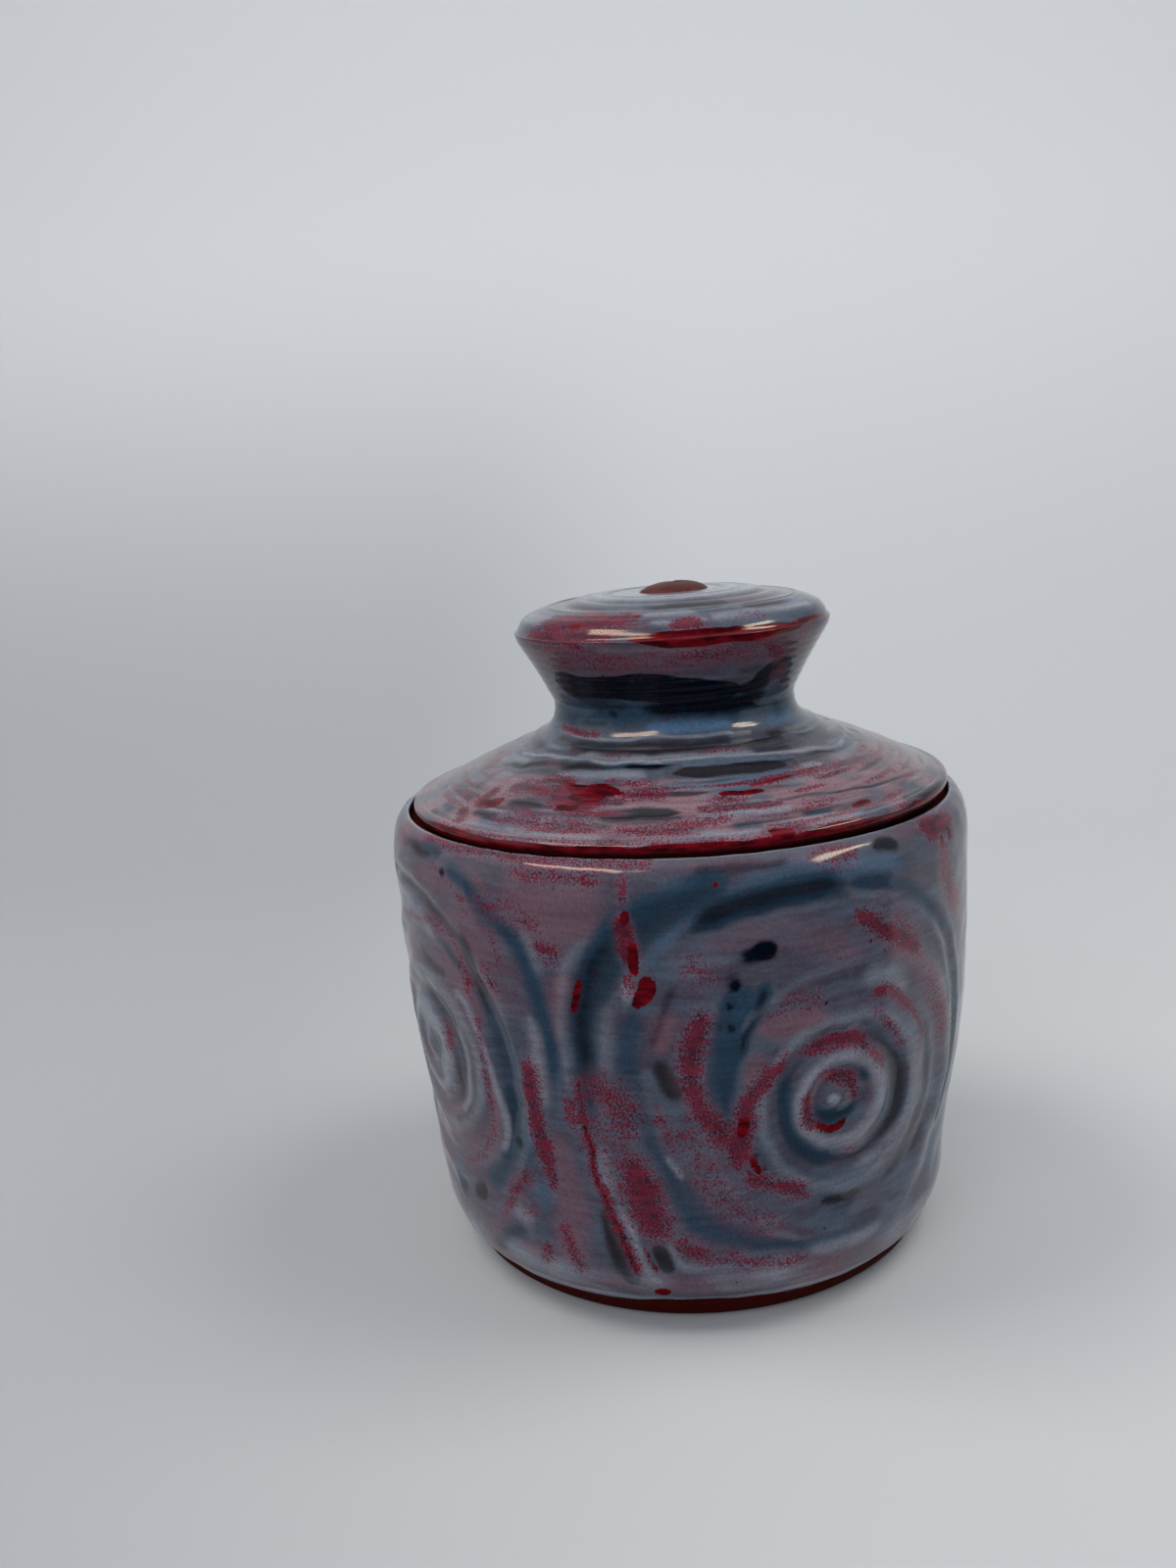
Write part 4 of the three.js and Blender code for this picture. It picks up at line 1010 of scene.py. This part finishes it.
def lid_grid():
    """The lid's grid: hand-thrown ridges and grooves over the dome, fine lines, and its glazes."""
    grid = Turned(lid_rows(), LID_COLUMNS, loop=True)
    turn = grid.turn
    start = grid.along[:, 0][np.argmax(grid.radius[:, 0] >= LID_RADIUS - 0.02)]
    climb = grid.along - start
    top = (climb > -6) & (grid.up > -0.9) & (grid.radius > KNOB_FOOT_RADIUS - 0.1)
    top &= grid.height > LEDGE_HEIGHT + 0.1
    x = grid.degrees + LID_STRAY[0] * waves(turn, climb, 21, 26, 8)
    y = climb + LID_STRAY[1] * waves(turn, climb, 22, 26, 8)
    paint(grid, LID_STROKES, x, y, LID_SCALE)
    back = x + 5 * waves(turn, climb, 26, 300, 120, count=8)
    paint(grid, LID_STROKES, back, y, LID_SCALE, BACK_TURN)
    grid.lift *= top
    mark_relief(grid, 1.2)
    grid.lift *= LID_CARVING
    grid.mark("pink", (0.5 + 0.3 * waves(turn, climb, 28, 60, 12)) * step(32 - climb, 0, 8))

    # Thin runs of every glaze lie along the turning direction.
    runs = waves(turn, climb * 7, 29, 70, 25, 62)
    other = waves(turn, climb * 9, 30, 60, 25, 62)
    zone = step(climb, 3, 6) * step(30 - climb, 0, 5)
    grid.mark("crimson", 0.68 * step(runs, 0.3, 1.6) * zone)
    grid.mark("olive", 0.7 * step(-runs, 0.5, 1.9) * zone)
    grid.mark("pale", 0.5 * step(other, 0.5, 1.8))

    on_dome = top * step(climb, 3.5, 8) * step(DOME_LENGTH - climb, 0.0, 3.5)
    strength = 0.6 + 0.4 * waves(turn, climb, 24, 70, 30)
    fine, coarse = (rise * thread(turn, climb, pitch) for pitch, rise in LID_THREADS)
    soft = 0.12 * waves(turn, climb, 25, 130, 50) - DOME_INSET
    grid.lift += on_dome * (strength * (fine + coarse) + soft)

    # A thin red edge, where the glaze ran off the clay, then bare clay under it, darkened as painted shade.
    clay = 1.2 + 0.3 * waves(turn, climb * 0, 27, 60, 20)
    grid.mark("red", 1.3 * (1 - step(y, clay - 0.5, clay + 0.6)))
    underside = (grid.up < -0.3) & (grid.radius < FLANGE_BORE - 1)
    bare = np.where(top, 1 - step(y, -1.5, -0.5), 1.0)
    grid.marks["bare"] = np.where(underside, 0.0, bare)
    keep_on(grid, top, 0.3)
    return grid


def knob_rows():
    """Hollow, neck, flare, bevel and top plate of the knob."""
    seat = SEAT_HEIGHT
    neck, flare = (NECK_RADIUS, seat + NECK_HEIGHT), (FLARE_RADIUS, seat + FLARE_HEIGHT)
    foot = (KNOB_FOOT_RADIUS, seat)
    bevel_foot = (FLARE_RADIUS - FLARE_ROUND / 2, flare[1] + FLARE_ROUND)
    edge = (PLATE_RADIUS, PLATE_HEIGHT)
    stem = np.concatenate([bend(foot, (NECK_RADIUS, seat + NECK_TURN), neck),
                           bend(neck, (NECK_RADIUS, seat + FLARE_TURN), flare)[1:]])
    roof = PLATE_HEIGHT - KNOB_WALL
    inside = set_in(stem, KNOB_WALL)
    inside = inside[(inside[:, 1] > neck[1]) & (inside[:, 1] < roof)]
    top = inside[-1]
    crest = np.concatenate([stem, bend(flare, (FLARE_RADIUS, bevel_foot[1]), bevel_foot, 12)[1:],
                            bow(bevel_foot, edge, BEVEL_BOW)[1:]])
    return rows_of(
        (line((0, roof), (PLATE_RADIUS - KNOB_WALL, roof)), 6.0),
        (bend((PLATE_RADIUS - KNOB_WALL, roof), (top[0], roof), top), 2.0),
        (inside[::-1], 3.0),
        (line(inside[0], (KNOB_BORE, neck[1])), 2.0),
        (line((KNOB_BORE, neck[1]), (KNOB_BORE, seat)), 3.0),
        (line((KNOB_BORE, seat), foot), 4.0),
        (crest, KNOB_ROW),
        (line(edge, (0, PLATE_HEIGHT)), PLATE_ROW),
    )


# The knob's throwing lines: the mm they climb in a turn, and how far they stand out. On the plate, the
# mm from turn to turn of the finger's spiral, and how deep it and the dish round the button are.
KNOB_THREAD, KNOB_THREAD_RISE = 2.7, 0.04
PLATE_SPIRAL, PLATE_GROOVE, PLATE_DISH = 6.6, 0.55, 1.3
# Where the knob stands in from its true outline, or out if below 0: mm, middle and half width.
KNOB_ROUNDINGS = ((0.75, 36.4, 2.4), (-0.45, 41.5, 2.4))
NECK_WAIST, PLATE_EDGE = (0.3, 12.5, 2.0), (0.9, 50.5, 4.0)


def knob_grid():
    """The knob's grid: throwing rings on neck, bevel and plate, and its glazes."""
    grid = Turned(knob_rows(), KNOB_COLUMNS)
    turn, radius = grid.turn, grid.radius
    at_seat = (np.abs(radius[:, 0] - KNOB_FOOT_RADIUS) < 0.01) & (grid.height[:, 0] < SEAT_HEIGHT + 0.1)
    climb = grid.along - grid.along[np.argmax(at_seat), 0]
    skin = climb >= 0
    x = grid.degrees + KNOB_STRAY[0] * waves(turn, climb, 41, 26, 8, 42)
    y = climb + KNOB_STRAY[1] * waves(turn, climb, 42, 26, 8, 42)
    inwards = PLATE_RADIUS - radius
    plate = step(inwards, -0.5, 2.5) * (climb > 45)

    # Plate: a spiral groove winds out from the button, as the thrower's finger left it.
    wind = (radius + 0.5 * waves(turn, climb, 43, 120, 60, 30, 8)) / PLATE_SPIRAL - turn / (2 * math.pi)
    groove = 0.5 + 0.5 * np.cos(2 * math.pi * wind)
    on_plate = plate * step(radius, BUTTON_RADIUS + 1.5, BUTTON_RADIUS + 5)
    on_plate *= step(inwards, 1.0, 6.0)
    grid.lift -= on_plate * PLATE_GROOVE * groove**2
    grid.mark("olive", 0.6 * groove**4 * on_plate)
    grid.mark("pale", (1.0 - 0.45 * groove) * plate * step(inwards, 7, 13))

    paint(grid, KNOB_STROKES, x, y, KNOB_SCALE)
    back = x + 6 * waves(turn, climb, 45, 200, 90, 42, 8)
    paint(grid, KNOB_STROKES, back, y, KNOB_SCALE, BACK_TURN)

    waist, waist_at, waist_width = NECK_WAIST
    fall, fall_at, fall_width = PLATE_EDGE
    fair = step(climb, 1.5, 5) * (1 - plate) * skin
    rings = thread(turn, climb, KNOB_THREAD)
    grid.lift += fair * (KNOB_THREAD_RISE * rings + 0.12 * waves(turn, climb, 44, 90, 30, 42))
    grid.lift -= fair * waist * bump(climb, waist_at, waist_width)
    rounding = sum(depth * bump(climb, middle, width) for depth, middle, width in KNOB_ROUNDINGS)
    grid.lift -= skin * (0.35 * step(climb, 33, 37.5) * step(60 - climb, 0, 8) + rounding)
    grid.lift -= skin * fall * bump(climb, fall_at, fall_width)
    grid.lift += plate * PLATE_DISH * step(inwards, 5, 15) * step(radius, 6, 10.5)
    grid.marks["bare"] = np.where(skin, 0.0, 1.0)
    keep_on(grid, skin, 0.0)
    return grid


# The button's turning lines: the mm from one to the next, and how far they stand out.
BUTTON_SPIRAL, BUTTON_LINE = 1.3, 0.04


def button_grid():
    """Low round button of bare clay: a dome with faint turning lines."""
    rise = BUTTON_TOP - PLATE_HEIGHT
    rim_radius = BUTTON_RADIUS * BUTTON_SCALE
    rim = (rim_radius, PLATE_HEIGHT)
    dome = bend(rim, (rim_radius * 0.8, BUTTON_TOP), (0, BUTTON_TOP))
    grid = Turned(rows_of((line((0, PLATE_HEIGHT), rim), 3.0), (dome, BUTTON_ROW)), BUTTON_COLUMNS)
    on_top = grid.height > PLATE_HEIGHT + rise * 0.2
    grid.lift += on_top * BUTTON_LINE * np.sin(2 * math.pi * grid.radius / BUTTON_SPIRAL)
    grid.lift += on_top * 0.12 * waves(grid.turn, grid.along, 51, 30, 14, 10, 10)
    grid.marks["bare"] = np.ones_like(grid.radius)
    return grid


# Materials. Colours are sRGB hex values.
def linear(hex_colour):
    """An sRGB hex colour as linear red, green, blue and alpha."""
    parts = [int(hex_colour[i:i + 2], 16) / 255 for i in (1, 3, 5)]
    return [p / 12.92 if p <= 0.04045 else ((p + 0.055) / 1.055) ** 2.4 for p in parts] + [1.0]


def node(tree, kind, inputs=None, **settings):
    """Adds a shader node. Its settings are properties; its inputs are values or other nodes' sockets, by
    name or by number. Mix: factor 0, colour under 6, colour over 7, and the result is output 2.
    MapRange: value 0, carried over from the range 1 to 2 into the range 3 to 4, or 0 to 1 if not given."""
    made = tree.nodes.new("ShaderNode" + kind)
    for name, value in settings.items():
        setattr(made, name, value)
    for name, value in (inputs or {}).items():
        if isinstance(value, bpy.types.NodeSocket):
            tree.links.new(value, made.inputs[name])
        else:
            made.inputs[name].default_value = value
    return made


def per_mm(size):
    """Noise scale, per metre, for a pattern of a real size in millimetres."""
    return 1 / (size * MM)


def empty_material(name):
    """A new material without nodes, and its node tree."""
    material = bpy.data.materials.new(name)
    material.use_nodes = True
    material.node_tree.nodes.clear()
    return material, material.node_tree


SLATE, MAUVE, PALE = "#4b5562", "#45424e", "#7a7e88"
TEAL, TEAL_DEEP, INK, OLIVE = "#263b4c", "#101b26", "#020914", "#26262b"
CRIMSON, CRIMSON_DEEP, RED, RED_DEEP = "#661529", "#3c0a19", "#640814", "#34030a"
LILAC = "#7a6678"
# Bare clay: red-brown, darkened as painted shade for the foot, the ledge and the lid's undercut edge.
CLAY_IN_PAINTED_SHADE, CLAY_DARK_IN_PAINTED_SHADE, CLAY_IOR = "#420c07", "#200403", 1.5
RUBBED_CLAY, RUBBED_CLAY_DARK = "#582824", "#3c1613"

# A face takes the clay's material where each of its corners is bare by more than this.
BARE_ABOVE = 0.9

# Sizes of the glaze's patterns in mm: drifts of colour, brushed lines, wisps that fray each glaze's
# edge, grain, the cells that crimson breaks into, and the gap from pinhole to pinhole. Of the clay's:
# its grog and its lighter patches.
DRIFT, BRUSH_LINE, WISP, GRAIN, CELL, PINHOLE_GAP = 22, 1.6, 6, 0.8, 0.62, 9
GROG, PATCH = 1.1, 9
GLAZE_ROUGHNESS, RUBBED_ROUGHNESS, BARE_ROUGHNESS, GLAZE_IOR = 0.12, 0.5, 0.9, 1.5
GLAZE_BUMP, GROG_BUMP = 0.12 * MM, 0.1 * MM


def mottled_glaze(name, rose, blue):
    """Stoneware glaze of several brushed colours that ran together in the kiln: opal slate and mauve
    with crimson that breaks into fine pale speckle at its edges. Glossy, a little uneven, with pinholes.
    Clay that the glaze leaves bare is red-brown, darkened as painted shade, and matt."""
    material, tree = empty_material(name)
    place = node(tree, "TexCoord").outputs["Object"]
    flow = node(tree, "Attribute", attribute_name="flow").outputs["Vector"]
    flat = node(tree, "Mapping", {"Vector": flow, "Scale": (1, 1, 3.0)}).outputs["Vector"]
    lines = node(tree, "Mapping", {"Vector": flow, "Scale": (0.08, 0.08, 1)}).outputs["Vector"]
    marks = {}
    for group in LAYERS:
        read = node(tree, "Attribute", attribute_name="_".join(group))
        split = node(tree, "SeparateXYZ", {"Vector": read.outputs["Vector"]})
        for axis, layer in zip("XYZ", group):
            marks[layer] = split.outputs[axis]

    # Patterns: the places that each is read at, its size, detail and roughness.
    patterns = []
    for places, size, detail, rough in ((flat, DRIFT, 4, 0.6), (lines, BRUSH_LINE, 2.5, 0.5),
                                        (flat, WISP, 3, 0.6), (place, GRAIN, 2, 0.5)):
        inputs = {"Vector": places, "Scale": per_mm(size), "Detail": detail, "Roughness": rough}
        patterns.append(node(tree, "TexNoise", inputs).outputs["Fac"])
    drift, streak, wisp, grain = patterns
    cells = node(tree, "TexVoronoi", {"Vector": place, "Scale": per_mm(CELL), "Randomness": 0.9})
    pits = node(tree, "TexVoronoi", {"Vector": place, "Scale": per_mm(PINHOLE_GAP), "Randomness": 1.0})

    # Shades that change over a glaze or the clay: how far the second colour lies over the first.
    field = node(tree, "MapRange", {0: drift, 1: 0.4, 2: 0.6}).outputs[0]
    deep = node(tree, "MapRange", {0: marks["teal"], 1: 0.95, 2: 1.35}).outputs[0]
    thinner = node(tree, "MapRange", {0: wisp, 1: 0.38, 2: 0.6}).outputs[0]
    shades = []
    for factor, under, over in ((field, SLATE, MAUVE), (deep, TEAL, TEAL_DEEP),
                                (thinner, CRIMSON_DEEP, CRIMSON), (thinner, RED_DEEP, RED),
                                (grain, CLAY_DARK_IN_PAINTED_SHADE, CLAY_IN_PAINTED_SHADE)):
        inputs = {0: factor, 6: linear(under), 7: linear(over)}
        shades.append(node(tree, "Mix", inputs, data_type="RGBA").outputs[2])
    colour, teal, crimson, red, clay = shades

    # Brushed glazes in the order in which they lie: layer, colour, how much wisps fray it, and how soft
    # it ends.
    brushed = (
        ("pink", linear(rose), 0.9, 0.45),
        ("blue", linear(blue), 0.8, 0.45),
        ("teal", teal, 0.6, 0.42),
        ("olive", linear(OLIVE), 0.5, 0.4),
        ("ink", linear(INK), 0.9, 0.36),
        ("pale", linear(PALE), 0.8, 0.45),
    )
    covers = []
    for layer, shade, fray, soft in brushed:
        frayed = node(tree, "Math", {0: wisp, 1: fray, 2: 1 - fray / 2}, operation="MULTIPLY_ADD")
        frayed = node(tree, "Math", {0: frayed.outputs[0], 1: marks[layer]}, operation="MULTIPLY")
        inputs = {0: frayed.outputs[0], 1: 0.5 - soft, 2: 0.5 + soft}
        covers.append((node(tree, "MapRange", inputs, interpolation_type="SMOOTHSTEP"), shade))

    # Crimson lies under a milky skin that broke into cells: where the glaze is thin the pale middles of
    # the cells grow and the crimson between them thins to a net. Red is thick and has no cells.
    veil = node(tree, "Math", {0: marks["crimson"], 1: 0.6}, operation="MULTIPLY")
    net = node(tree, "Math", {0: wisp, 1: 0.9, 2: cells.outputs["Distance"]}, operation="MULTIPLY_ADD")
    net = node(tree, "Math", {0: marks["crimson"], 1: 1.05, 2: net.outputs[0]}, operation="MULTIPLY_ADD")
    inputs = {0: net.outputs[0], 1: 1.14, 2: 1.8, 4: 0.9}
    net = node(tree, "MapRange", inputs, interpolation_type="SMOOTHSTEP")
    thick = node(tree, "Math", {0: grain, 1: 0.8, 2: marks["red"]}, operation="MULTIPLY_ADD")
    inputs = {0: thick.outputs[0], 1: 0.85, 2: 1.1}
    thick = node(tree, "MapRange", inputs, interpolation_type="SMOOTHSTEP")
    covers += [(veil, linear(LILAC)), (net, crimson), (thick, red)]
    for cover, shade in covers:
        colour = node(tree, "Mix", {0: cover.outputs[0], 6: colour, 7: shade}, data_type="RGBA").outputs[2]

    # Milky grain in the glaze, then pinholes, dark pits under a millimetre across, then the bare clay.
    milk = node(tree, "Math", {0: grain, 1: streak}, operation="ADD").outputs[0]
    milk = node(tree, "MapRange", {0: milk, 1: 0.7, 2: 1.3, 3: 0.8, 4: 1.2}).outputs[0]
    colour = node(tree, "VectorMath", {0: colour, "Scale": milk}, operation="SCALE").outputs[0]
    pit = node(tree, "MapRange", {0: pits.outputs["Distance"], 1: 0.03, 2: 0.05, 3: 0.8, 4: 0.0})
    bare = node(tree, "MapRange", {0: marks["bare"], 1: 0.35, 2: 0.65})
    for cover, shade in ((pit, linear(INK)), (bare, clay)):
        colour = node(tree, "Mix", {0: cover.outputs[0], 6: colour, 7: shade}, data_type="RGBA").outputs[2]
    rough = node(tree, "MapRange", {0: bare.outputs[0], 3: GLAZE_ROUGHNESS, 4: BARE_ROUGHNESS}).outputs[0]

    uneven = node(tree, "Math", {0: streak, 1: 0.4, 2: wisp}, operation="MULTIPLY_ADD")
    relief = node(tree, "Bump", {"Height": uneven.outputs[0], "Strength": 0.25, "Distance": GLAZE_BUMP})
    shader = node(tree, "BsdfPrincipled", {
        "Base Color": colour, "Roughness": rough, "IOR": GLAZE_IOR,
        "Specular IOR Level": 0.3, "Normal": relief.outputs[0]})
    node(tree, "OutputMaterial", {"Surface": shader.outputs[0]})
    return material


def bare_clay():
    """Unglazed red stoneware, rubbed smooth: satin red-brown, a little uneven, with fine grog."""
    material, tree = empty_material("bare_red_stoneware")
    place = node(tree, "TexCoord").outputs["Object"]
    grog = node(tree, "TexNoise", {"Vector": place, "Scale": per_mm(GROG), "Detail": 3}).outputs["Fac"]
    patch = node(tree, "TexNoise", {"Vector": place, "Scale": per_mm(PATCH), "Detail": 2}).outputs["Fac"]
    tone = node(tree, "Math", {0: grog, 1: patch}, operation="MULTIPLY").outputs[0]
    tone = node(tree, "MapRange", {0: tone, 1: 0.15, 2: 0.38}).outputs[0]
    inputs = {0: tone, 6: linear(RUBBED_CLAY_DARK), 7: linear(RUBBED_CLAY)}
    colour = node(tree, "Mix", inputs, data_type="RGBA").outputs[2]
    relief = node(tree, "Bump", {"Height": grog, "Strength": 0.3, "Distance": GROG_BUMP})
    shader = node(tree, "BsdfPrincipled", {
        "Base Color": colour, "Roughness": RUBBED_ROUGHNESS, "IOR": CLAY_IOR,
        "Specular IOR Level": 0.25, "Normal": relief.outputs[0]})
    node(tree, "OutputMaterial", {"Surface": shader.outputs[0]})
    return material


def matt_clay():
    """Red-brown stoneware as the kiln left it, where no glaze was brushed: matt, and darkened as painted
    shade.
    """
    material, tree = empty_material("matt_bare_clay")
    place = node(tree, "TexCoord").outputs["Object"]
    grog = node(tree, "TexNoise", {"Vector": place, "Scale": per_mm(GRAIN), "Detail": 2}).outputs["Fac"]
    inputs = {0: grog, 6: linear(CLAY_DARK_IN_PAINTED_SHADE), 7: linear(CLAY_IN_PAINTED_SHADE)}
    colour = node(tree, "Mix", inputs, data_type="RGBA").outputs[2]
    shader = node(tree, "BsdfPrincipled", {
        "Base Color": colour, "Roughness": BARE_ROUGHNESS, "IOR": CLAY_IOR,
        "Specular IOR Level": 0.05})
    node(tree, "OutputMaterial", {"Surface": shader.outputs[0]})
    return material


def leave_bare(mesh, bare):
    """Gives faces whose corners are all bare the second material."""
    corners = np.empty(len(mesh.loops), np.int32)
    mesh.loops.foreach_get("vertex_index", corners)
    starts = np.empty(len(mesh.polygons), np.int32)
    mesh.polygons.foreach_get("loop_start", starts)
    least = np.minimum.reduceat(bare[corners], starts)
    mesh.polygons.foreach_set("material_index", (least > BARE_ABOVE).astype(np.int32))


def dress(name, grid, materials, body, replaced, slot, *lean):
    """Makes a turned piece with its painted attributes, gives it its body and hides the CAD node that it
    stands in for; its slot is not used. Where it has a second material, that lies on its bare faces."""
    mesh = grid.mesh(name, *lean)
    for group in LAYERS:
        painted = mesh.attributes.new("_".join(group), "FLOAT_VECTOR", "POINT")
        values = np.stack([grid.values(layer) for layer in group], -1)
        painted.data.foreach_set("vector", values.astype(np.float32).ravel())
    flow = mesh.attributes.new("flow", "FLOAT_VECTOR", "POINT")
    flow.data.foreach_set("vector", grid.flow().astype(np.float32).ravel())
    for material in materials:
        mesh.materials.append(material)
    if len(materials) > 1:
        leave_bare(mesh, grid.values("bare"))
    piece = added(name, mesh)
    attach(piece, body)
    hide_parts(replaced)


TOP_BODY = "lid_and_knob"
LEANING = (LID_SHIFT, LID_LEAN)
unglazed = matt_clay()
jar_glaze = mottled_glaze("mottled_glaze_jar", "#664e58", "#3f5468")
lid_glaze = mottled_glaze("mottled_glaze_lid", "#7c6067", "#4c5c6c")
# The knob's blue is lighter than the jar's: slate-blue glaze with a painted sheen.
knob_glaze = mottled_glaze("mottled_glaze_knob", "#513b45", "#4f6c88")
dress("glazed_jar", jar_body_grid(), (jar_glaze, unglazed), "jar", "jar_body", "jar_glaze")
dress("glazed_lid", lid_grid(), (lid_glaze, unglazed), TOP_BODY, "lid", "lid_glaze", *LEANING)
dress("glazed_knob", knob_grid(), (knob_glaze, unglazed), TOP_BODY, "lid_knob", "knob_glaze", *LEANING)
dress("clay_button", button_grid(), (bare_clay(),), TOP_BODY, "knob_button", "bare_clay",
      *LEANING, BUTTON_SHIFT)


# Stage: a seamless sweep of pale paper.
SWEEP_HALF_WIDTH, SWEEP_FRONT, SWEEP_TURN, SWEEP_RADIUS, SWEEP_TOP = 4.0, -4.0, 0.42, 0.75, 3.5
SWEEP_STEPS = 40
# The paper's second colour is the colour of its painted shade.
PAPER, PAPER_IN_PAINTED_SHADE, BACKDROP, SKY = "#d7dadc", "#a5a8ab", "#c5cacd", "#e6eeff"
NO_FANS = np.zeros((0, 3), int)
# Painted shade on the paper, on the left, close by and low down: the metres along an axis that it runs
# between, and how much there is at each.
PAINTED_PAPER_SHADE_RAMPS = (("X", -0.22, 0.06, 0.95, 0.5), ("Y", -0.45, -0.1, 0.3, 0.0), ("Z", 0.0, 0.5, 1.0, 0.0))


def paper_sweep():
    """A sheet of paper: flat floor, a quarter circle, then a straight wall behind. Painted shade leaves it
    palest high on the wall and greyer on the floor, most of all on the left and close by, as in the
    photograph."""
    angle = np.linspace(0, math.pi / 2, SWEEP_STEPS)
    side = np.concatenate([
        [(SWEEP_FRONT, 0.0)],
        np.column_stack([SWEEP_TURN + SWEEP_RADIUS * np.sin(angle), SWEEP_RADIUS * (1 - np.cos(angle))]),
        [(SWEEP_TURN + SWEEP_RADIUS, SWEEP_TOP)],
    ])
    columns = np.linspace(-SWEEP_HALF_WIDTH, SWEEP_HALF_WIDTH, 3)
    x, along = np.meshgrid(columns, np.arange(len(side)))
    points = np.stack([x, side[along, 0], side[along, 1]], -1).reshape(-1, 3)
    index = np.arange(len(points)).reshape(x.shape)
    quads = np.stack([index[:-1, :-1], index[:-1, 1:], index[1:, 1:], index[1:, :-1]], -1).reshape(-1, 4)
    mesh = filled_mesh("paper_sweep", points, quads, NO_FANS)
    material, tree = empty_material("pale_paper")
    place = node(tree, "TexCoord").outputs["Object"]
    split = node(tree, "SeparateXYZ", {"Vector": place})
    # Painted shade: darker to the left, close by and low down.
    shades = []
    for axis, start, end, at_start, at_end in PAINTED_PAPER_SHADE_RAMPS:
        inputs = {0: split.outputs[axis], 1: start, 2: end, 3: at_start, 4: at_end}
        shades.append(node(tree, "MapRange", inputs, interpolation_type="SMOOTHSTEP").outputs[0])
    left, near, low = shades
    shade = node(tree, "Math", {0: left, 1: near}, operation="ADD")
    shade = node(tree, "Math", {0: shade.outputs[0], 1: low}, operation="MULTIPLY").outputs[0]
    inputs = {0: shade, 6: linear(PAPER), 7: linear(PAPER_IN_PAINTED_SHADE)}
    colour = node(tree, "Mix", inputs, data_type="RGBA").outputs[2]
    shader = node(tree, "BsdfPrincipled", {
        "Base Color": colour, "Roughness": 0.85, "Specular IOR Level": 0.2})
    node(tree, "OutputMaterial", {"Surface": shader.outputs[0]})
    mesh.materials.append(material)
    sweep = added("paper_sweep", mesh)


def lamp(name, place, target, width, height, radiance, colour, lights=True, reflects=True):
    """A soft rectangular lamp of a given radiance that faces a target."""
    data = bpy.data.lights.new(name, "AREA")
    data.shape = "RECTANGLE"
    data.size, data.size_y = width, height
    data.energy = radiance * math.pi * width * height
    data.color = linear(colour)[:3]
    made = added(name, data)
    made.location = place
    made.rotation_euler = (Vector(target) - Vector(place)).to_track_quat("-Z", "Y").to_euler()
    made.visible_camera = False
    made.visible_diffuse = lights
    made.visible_glossy = reflects


def studio():
    """Even soft light all round, two large lamps above the sides, a weak one in front, and two windows,
    seen only in the glaze, that put the long bright marks on the lip, the lid's edge and the knob."""
    middle, shoulder = (0, 0, 0.1), (0, 0, 0.145)
    soft, fill, window = 5.7, 2.5, 17.0
    lamp("soft_left", (-0.75, -0.05, 1.35), middle, 0.7, 0.7, soft, "#fffaf2", reflects=False)
    lamp("soft_right", (0.75, 0.0, 1.35), middle, 0.7, 0.7, soft, "#fffaf2", reflects=False)
    lamp("front_fill", (-0.5, -1.9, 1.1), middle, 1.8, 1.4, fill, "#ffffff", reflects=False)
    lamp("window_left", (-0.72, -0.64, 1.24), shoulder, 1.0, 0.2, window, "#ffd8bc", lights=False)
    lamp("window_right", (1.16, -0.31, 1.04), shoulder, 0.6, 0.2, window, "#fff2d8", lights=False)
    world = bpy.data.worlds.new("studio")
    bpy.context.scene.world = world
    world.use_nodes = True
    tree = world.node_tree
    tree.nodes.clear()
    path = node(tree, "LightPath")
    seen = path.outputs["Is Camera Ray"]
    for kind in ("Is Glossy Ray", "Is Transmission Ray"):
        seen = node(tree, "Math", {0: seen, 1: path.outputs[kind]}, operation="MAXIMUM").outputs[0]
    ambient = node(tree, "Background", {"Color": linear(SKY), "Strength": 0.42})
    backdrop = node(tree, "Background", {"Color": linear(BACKDROP), "Strength": 1.0})
    mixed = node(tree, "MixShader", {0: seen, 1: ambient.outputs[0], 2: backdrop.outputs[0]})
    node(tree, "OutputWorld", {"Surface": mixed.outputs[0]})


def black_card():
    """A dark sheet that lies in front of the jar and stands behind the camera, seen only in reflections,
    so that dark glaze isn't veiled."""
    near, far, top, above_floor, half_width = -0.07, -1.6, 3.5, 0.001, 3.0
    side = ((near, above_floor), (far, above_floor), (far, top))
    points = np.array([(x, y, z) for y, z in side for x in (-half_width, half_width)])
    quads = np.array([[0, 1, 3, 2], [2, 3, 5, 4]])
    mesh = filled_mesh("black_card", points, quads, NO_FANS)
    material, tree = empty_material("black_card")
    shader = node(tree, "BsdfPrincipled", {"Base Color": linear("#101214"), "Roughness": 0.8})
    node(tree, "OutputMaterial", {"Surface": shader.outputs[0]})
    mesh.materials.append(material)
    card = added("black_card", mesh)
    card.visible_camera = card.visible_diffuse = card.visible_transmission = card.visible_shadow = False


paper_sweep()
black_card()
studio()
bpy.context.scene.view_settings.view_transform = "Standard"
